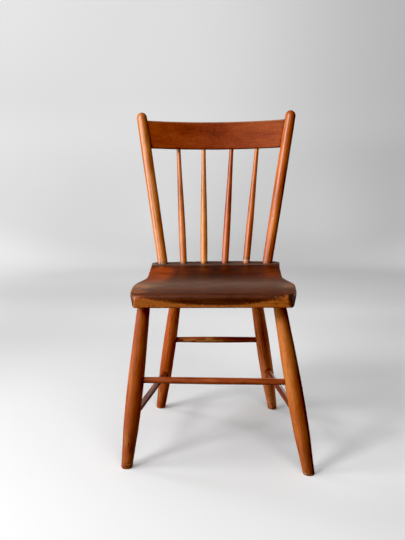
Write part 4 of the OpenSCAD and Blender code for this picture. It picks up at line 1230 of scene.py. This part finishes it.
# ---- floor and light ----
def stage_material(name, colour, rough):
    mat = bpy.data.materials.new(name)
    t = Tree(mat)
    tc = t.node("ShaderNodeTexCoord")
    n1 = t.noise(tc.outputs["Object"], 1.3, 3.0)
    n2 = t.noise(tc.outputs["Object"], 90.0, 2.0)
    fac = t.math("ADD", t.math("MULTIPLY", n1, 0.7), t.math("MULTIPLY", n2, 0.3))
    c = lin(*colour)
    col = t.mix(fac, [k * 0.97 for k in c[:3]] + [1.0], [min(1.0, k * 1.03) for k in c[:3]] + [1.0])
    # painted light and shade on the paper: the far floor is painted lighter to the right and at the far left, and the
    # wall painted duller to the right
    sep = t.node("ShaderNodeSeparateXYZ")
    t.put(tc.outputs["Object"], sep.inputs[0])
    x_, y_, z_ = sep.outputs
    amount = t.math("ADD", t.steps(y_, 1.1, 1.6, 0.54, 0.39), 0.0)
    level = t.math("MULTIPLY_ADD", t.steps(x_, -0.95, 0.35), amount, -0.12)
    left_ = t.math("MULTIPLY", t.steps(y_, 1.6, 2.4, 0.0, 0.42), t.steps(x_, 0.2, -0.5))
    level = t.math("ADD", level, left_)
    wall = t.math("MULTIPLY_ADD", t.steps(x_, -0.3, 1.3), -0.38, 0.15)
    up_ = t.steps(z_, 0.05, 0.6)
    level = t.math("ADD", t.math("MULTIPLY", level, t.math("SUBTRACT", 1.0, up_)), t.math("MULTIPLY", wall, up_))
    level = t.math("MULTIPLY_ADD", level, t.steps(y_, 0.05, 0.85), 1.0)

    def product(*parts):
        out = parts[0]
        for k in parts[1:]:
            out = t.math("MULTIPLY", out, k)
        return out

    # painted patches on the paper: the far floor lighter, the foot of the wall darker on the right, a painted shadow
    # behind the chair on the right, and the floor painted lighter in the chair's shadow at the right front
    rise = product(t.steps(y_, 0.85, 1.4), t.steps(y_, 2.25, 1.8), t.steps(x_, 0.4, -0.4, 0.03, 0.15))
    foot = product(t.steps(y_, 2.2, 2.6), t.steps(z_, 0.75, 0.15), t.steps(x_, 0.5, 1.0, 0.17, 0.29))
    behind = product(t.steps(x_, 0.15, 0.35), t.steps(y_, 0.4, 0.6), t.steps(y_, 1.35, 1.1), 0.09)
    painted_light = product(t.steps(x_, 0.1, 0.32), t.steps(y_, -0.5, -0.15), t.steps(y_, 0.48, 0.25), 0.2)
    level = t.math("MULTIPLY", level, t.math("SUBTRACT", t.math("ADD", t.math("ADD", rise, painted_light), 1.0), t.math("ADD", foot, behind)))
    scale = t.node("ShaderNodeVectorMath", operation="SCALE")
    t.put(col, scale.inputs[0])
    t.put(level, scale.inputs["Scale"])
    col = scale.outputs[0]
    b = t.node("ShaderNodeBsdfPrincipled")
    t.put(col, b.inputs["Base Color"])
    b.inputs["Roughness"].default_value = rough
    b.inputs["Specular IOR Level"].default_value = 0.3
    out = t.node("ShaderNodeOutputMaterial")
    t.put(b.outputs[0], out.inputs[0])
    return mat


def turned_up_floor(name, profile, centre, n=128):
    """A surface of revolution about the z axis through the profile (radius, height)."""
    pts, faces = [], []
    if centre:
        pts.append((0.0, 0.0, 0.0))
    o = len(pts)
    for r, h in profile:
        for k in range(n):
            a = 2 * math.pi * k / n
            pts.append((r * math.cos(a), r * math.sin(a), h))
    if centre:
        for k in range(n):
            faces.append((0, o + k, o + (k + 1) % n))
    for i in range(len(profile) - 1):
        for k in range(n):
            a, b = o + i * n + k, o + i * n + (k + 1) % n
            faces.append((a, a + n, b + n, b))
    me = bpy.data.meshes.new(name)
    me.from_pydata(pts, [], faces)
    me.polygons.foreach_set("use_smooth", np.ones(len(me.polygons), bool))
    me.update()
    ob = bpy.data.objects.new(name, me)
    bpy.context.scene.collection.objects.link(ob)
    me.materials.append(PAPER)
    return ob


PAPER = stage_material("backdrop_paper", (219, 219, 219), 0.8)
FLOOR_R, WALL_R, TURN, WALL_TOP = 1.1, 2.25, 0.9, 3.2
floor = turned_up_floor("floor", [(r, 0.0) for r in np.linspace(0.1, FLOOR_R, 10)], True)
far = turned_up_floor("backdrop", [(r, 0.0) for r in np.linspace(FLOOR_R, WALL_R, 8)]
                      + [(WALL_R + TURN * math.sin(a), TURN * (1 - math.cos(a))) for a in np.linspace(0, math.pi / 2, 20)[1:]]
                      + [(WALL_R + TURN, h) for h in np.linspace(TURN, WALL_TOP, 6)[1:]], False)
# the paper takes light and the chair's shadows; what it throws back on the chair is
# in the world light below, so the far side of every member stays dark
paper_only = bpy.data.collections.new("paper_only")
for o in (floor, far):
    o.visible_diffuse = False
    o.visible_glossy = False
    o.visible_shadow = False
    paper_only.objects.link(o)


def area(name, where, at, size, power, colour=(1, 1, 1)):
    d = bpy.data.lights.new(name, "AREA")
    d.shape = "RECTANGLE"
    d.size, d.size_y = size
    d.energy = power
    d.color = colour
    o = bpy.data.objects.new(name, d)
    bpy.context.scene.collection.objects.link(o)
    o.location = where
    o.rotation_mode = "QUATERNION"
    o.rotation_quaternion = (Vector(where) - Vector(at)).to_track_quat("Z", "Y")
    o.visible_camera = False
    return o


area("key", (-2.15, -2.1, 2.45), (0.0, 0.0, 0.42), (0.9, 0.9), 61.7)
area("side", (-2.3, -0.6, 0.7), (0.0, 0.0, 0.4), (1.2, 1.2), 37.0)
area("near", (-1.5, -0.6, 1.9), (-0.4, -0.2, 0.0), (1.2, 1.2), 10.9)
for o in (area("paper_front", (0.6, -3.4, 2.0), (0.0, 0.0, 0.5), (2.4, 2.0), 90.0),
          area("paper_top", (-0.5, 0.3, 3.1), (-0.3, 0.2, 0.0), (2.6, 2.6), 12.0),
          area("paper_wall", (-2.4, 1.2, 1.8), (0.2, 3.1, 1.3), (1.4, 1.4), 36.3, (0.985, 0.978, 1.0))):
    o.light_linking.receiver_collection = paper_only

# a soft front light for the back of the chair
upper, lower = bpy.data.collections.new("upper_parts"), bpy.data.collections.new("lower_parts")
for o in bpy.context.scene.objects:
    if o.name.endswith("_looks"):
        part = o.name[:-6]
        if part in ("rear_left_leg", "left_post", "right_post", "crest_rail") or part.startswith("spindle_"):
            upper.objects.link(o)
        if part != "front_right_leg" and not part.startswith("spindle_") and not part.endswith("_post"):
            lower.objects.link(o)
area("front", (-0.9, -3.0, 1.3), (0.0, 0.1, 0.6), (1.6, 1.6), 17.0).light_linking.receiver_collection = upper
area("right_fill", (2.3, 0.9, 0.9), (0.0, 0.0, 0.35), (1.6, 1.6), 20.0).light_linking.receiver_collection = lower

back = bpy.data.collections.new("all_but_the_seat")
for o in bpy.context.scene.objects:
    if o.name.endswith("_looks") and o.name != "seat_looks":
        back.objects.link(o)
area("back_fill", (0.5, 3.1, 1.1), (0.0, 0.0, 0.5), (1.8, 1.4), 13.0).light_linking.receiver_collection = back

edge = bpy.data.collections.new("the_seat")
for o in bpy.context.scene.objects:
    if o.name == "seat_looks":
        edge.objects.link(o)
area("edge_fill", (0.4, 2.4, 0.22), (0.0, 0.19, 0.43), (1.4, 0.3), 7.0).light_linking.receiver_collection = edge

world = bpy.data.worlds.new("studio")
bpy.context.scene.world = world
world.use_nodes = True
wt = world.node_tree
bg = wt.nodes["Background"]
bg.inputs["Color"].default_value = (1.0, 1.0, 1.0, 1.0)
wc, ws, wm = wt.nodes.new("ShaderNodeTexCoord"), wt.nodes.new("ShaderNodeSeparateXYZ"), wt.nodes.new("ShaderNodeMapRange")
wm.interpolation_type = "SMOOTHSTEP"
wm.inputs["From Min"].default_value, wm.inputs["From Max"].default_value = -0.15, 0.15
wm.inputs["To Min"].default_value, wm.inputs["To Max"].default_value = 0.19, 0.21
wt.links.new(wc.outputs["Generated"], ws.inputs[0])
wt.links.new(ws.outputs[2], wm.inputs["Value"])
level = wm.outputs["Result"]
# stronger from the front, weaker from behind and from the right
for axis, lo_, hi_, at_lo, at_hi in ((1, -0.9, 0.4, 1.05, 0.6), (0, -0.2, 0.8, 1.0, 0.22)):
    wb, wx = wt.nodes.new("ShaderNodeMapRange"), wt.nodes.new("ShaderNodeMath")
    wb.interpolation_type = "SMOOTHSTEP"
    wb.inputs["From Min"].default_value, wb.inputs["From Max"].default_value = lo_, hi_
    wb.inputs["To Min"].default_value, wb.inputs["To Max"].default_value = at_lo, at_hi
    wx.operation = "MULTIPLY"
    wt.links.new(ws.outputs[axis], wb.inputs["Value"])
    wt.links.new(level, wx.inputs[0])
    wt.links.new(wb.outputs["Result"], wx.inputs[1])
    level = wx.outputs[0]
wt.links.new(level, bg.inputs["Strength"])
view = bpy.context.scene.view_settings
view.view_transform = "Standard"
view.use_curve_mapping = True
view.curve_mapping.black_level = (0.012, 0.012, 0.012)
view.curve_mapping.update()

bpy.context.view_layer.update()
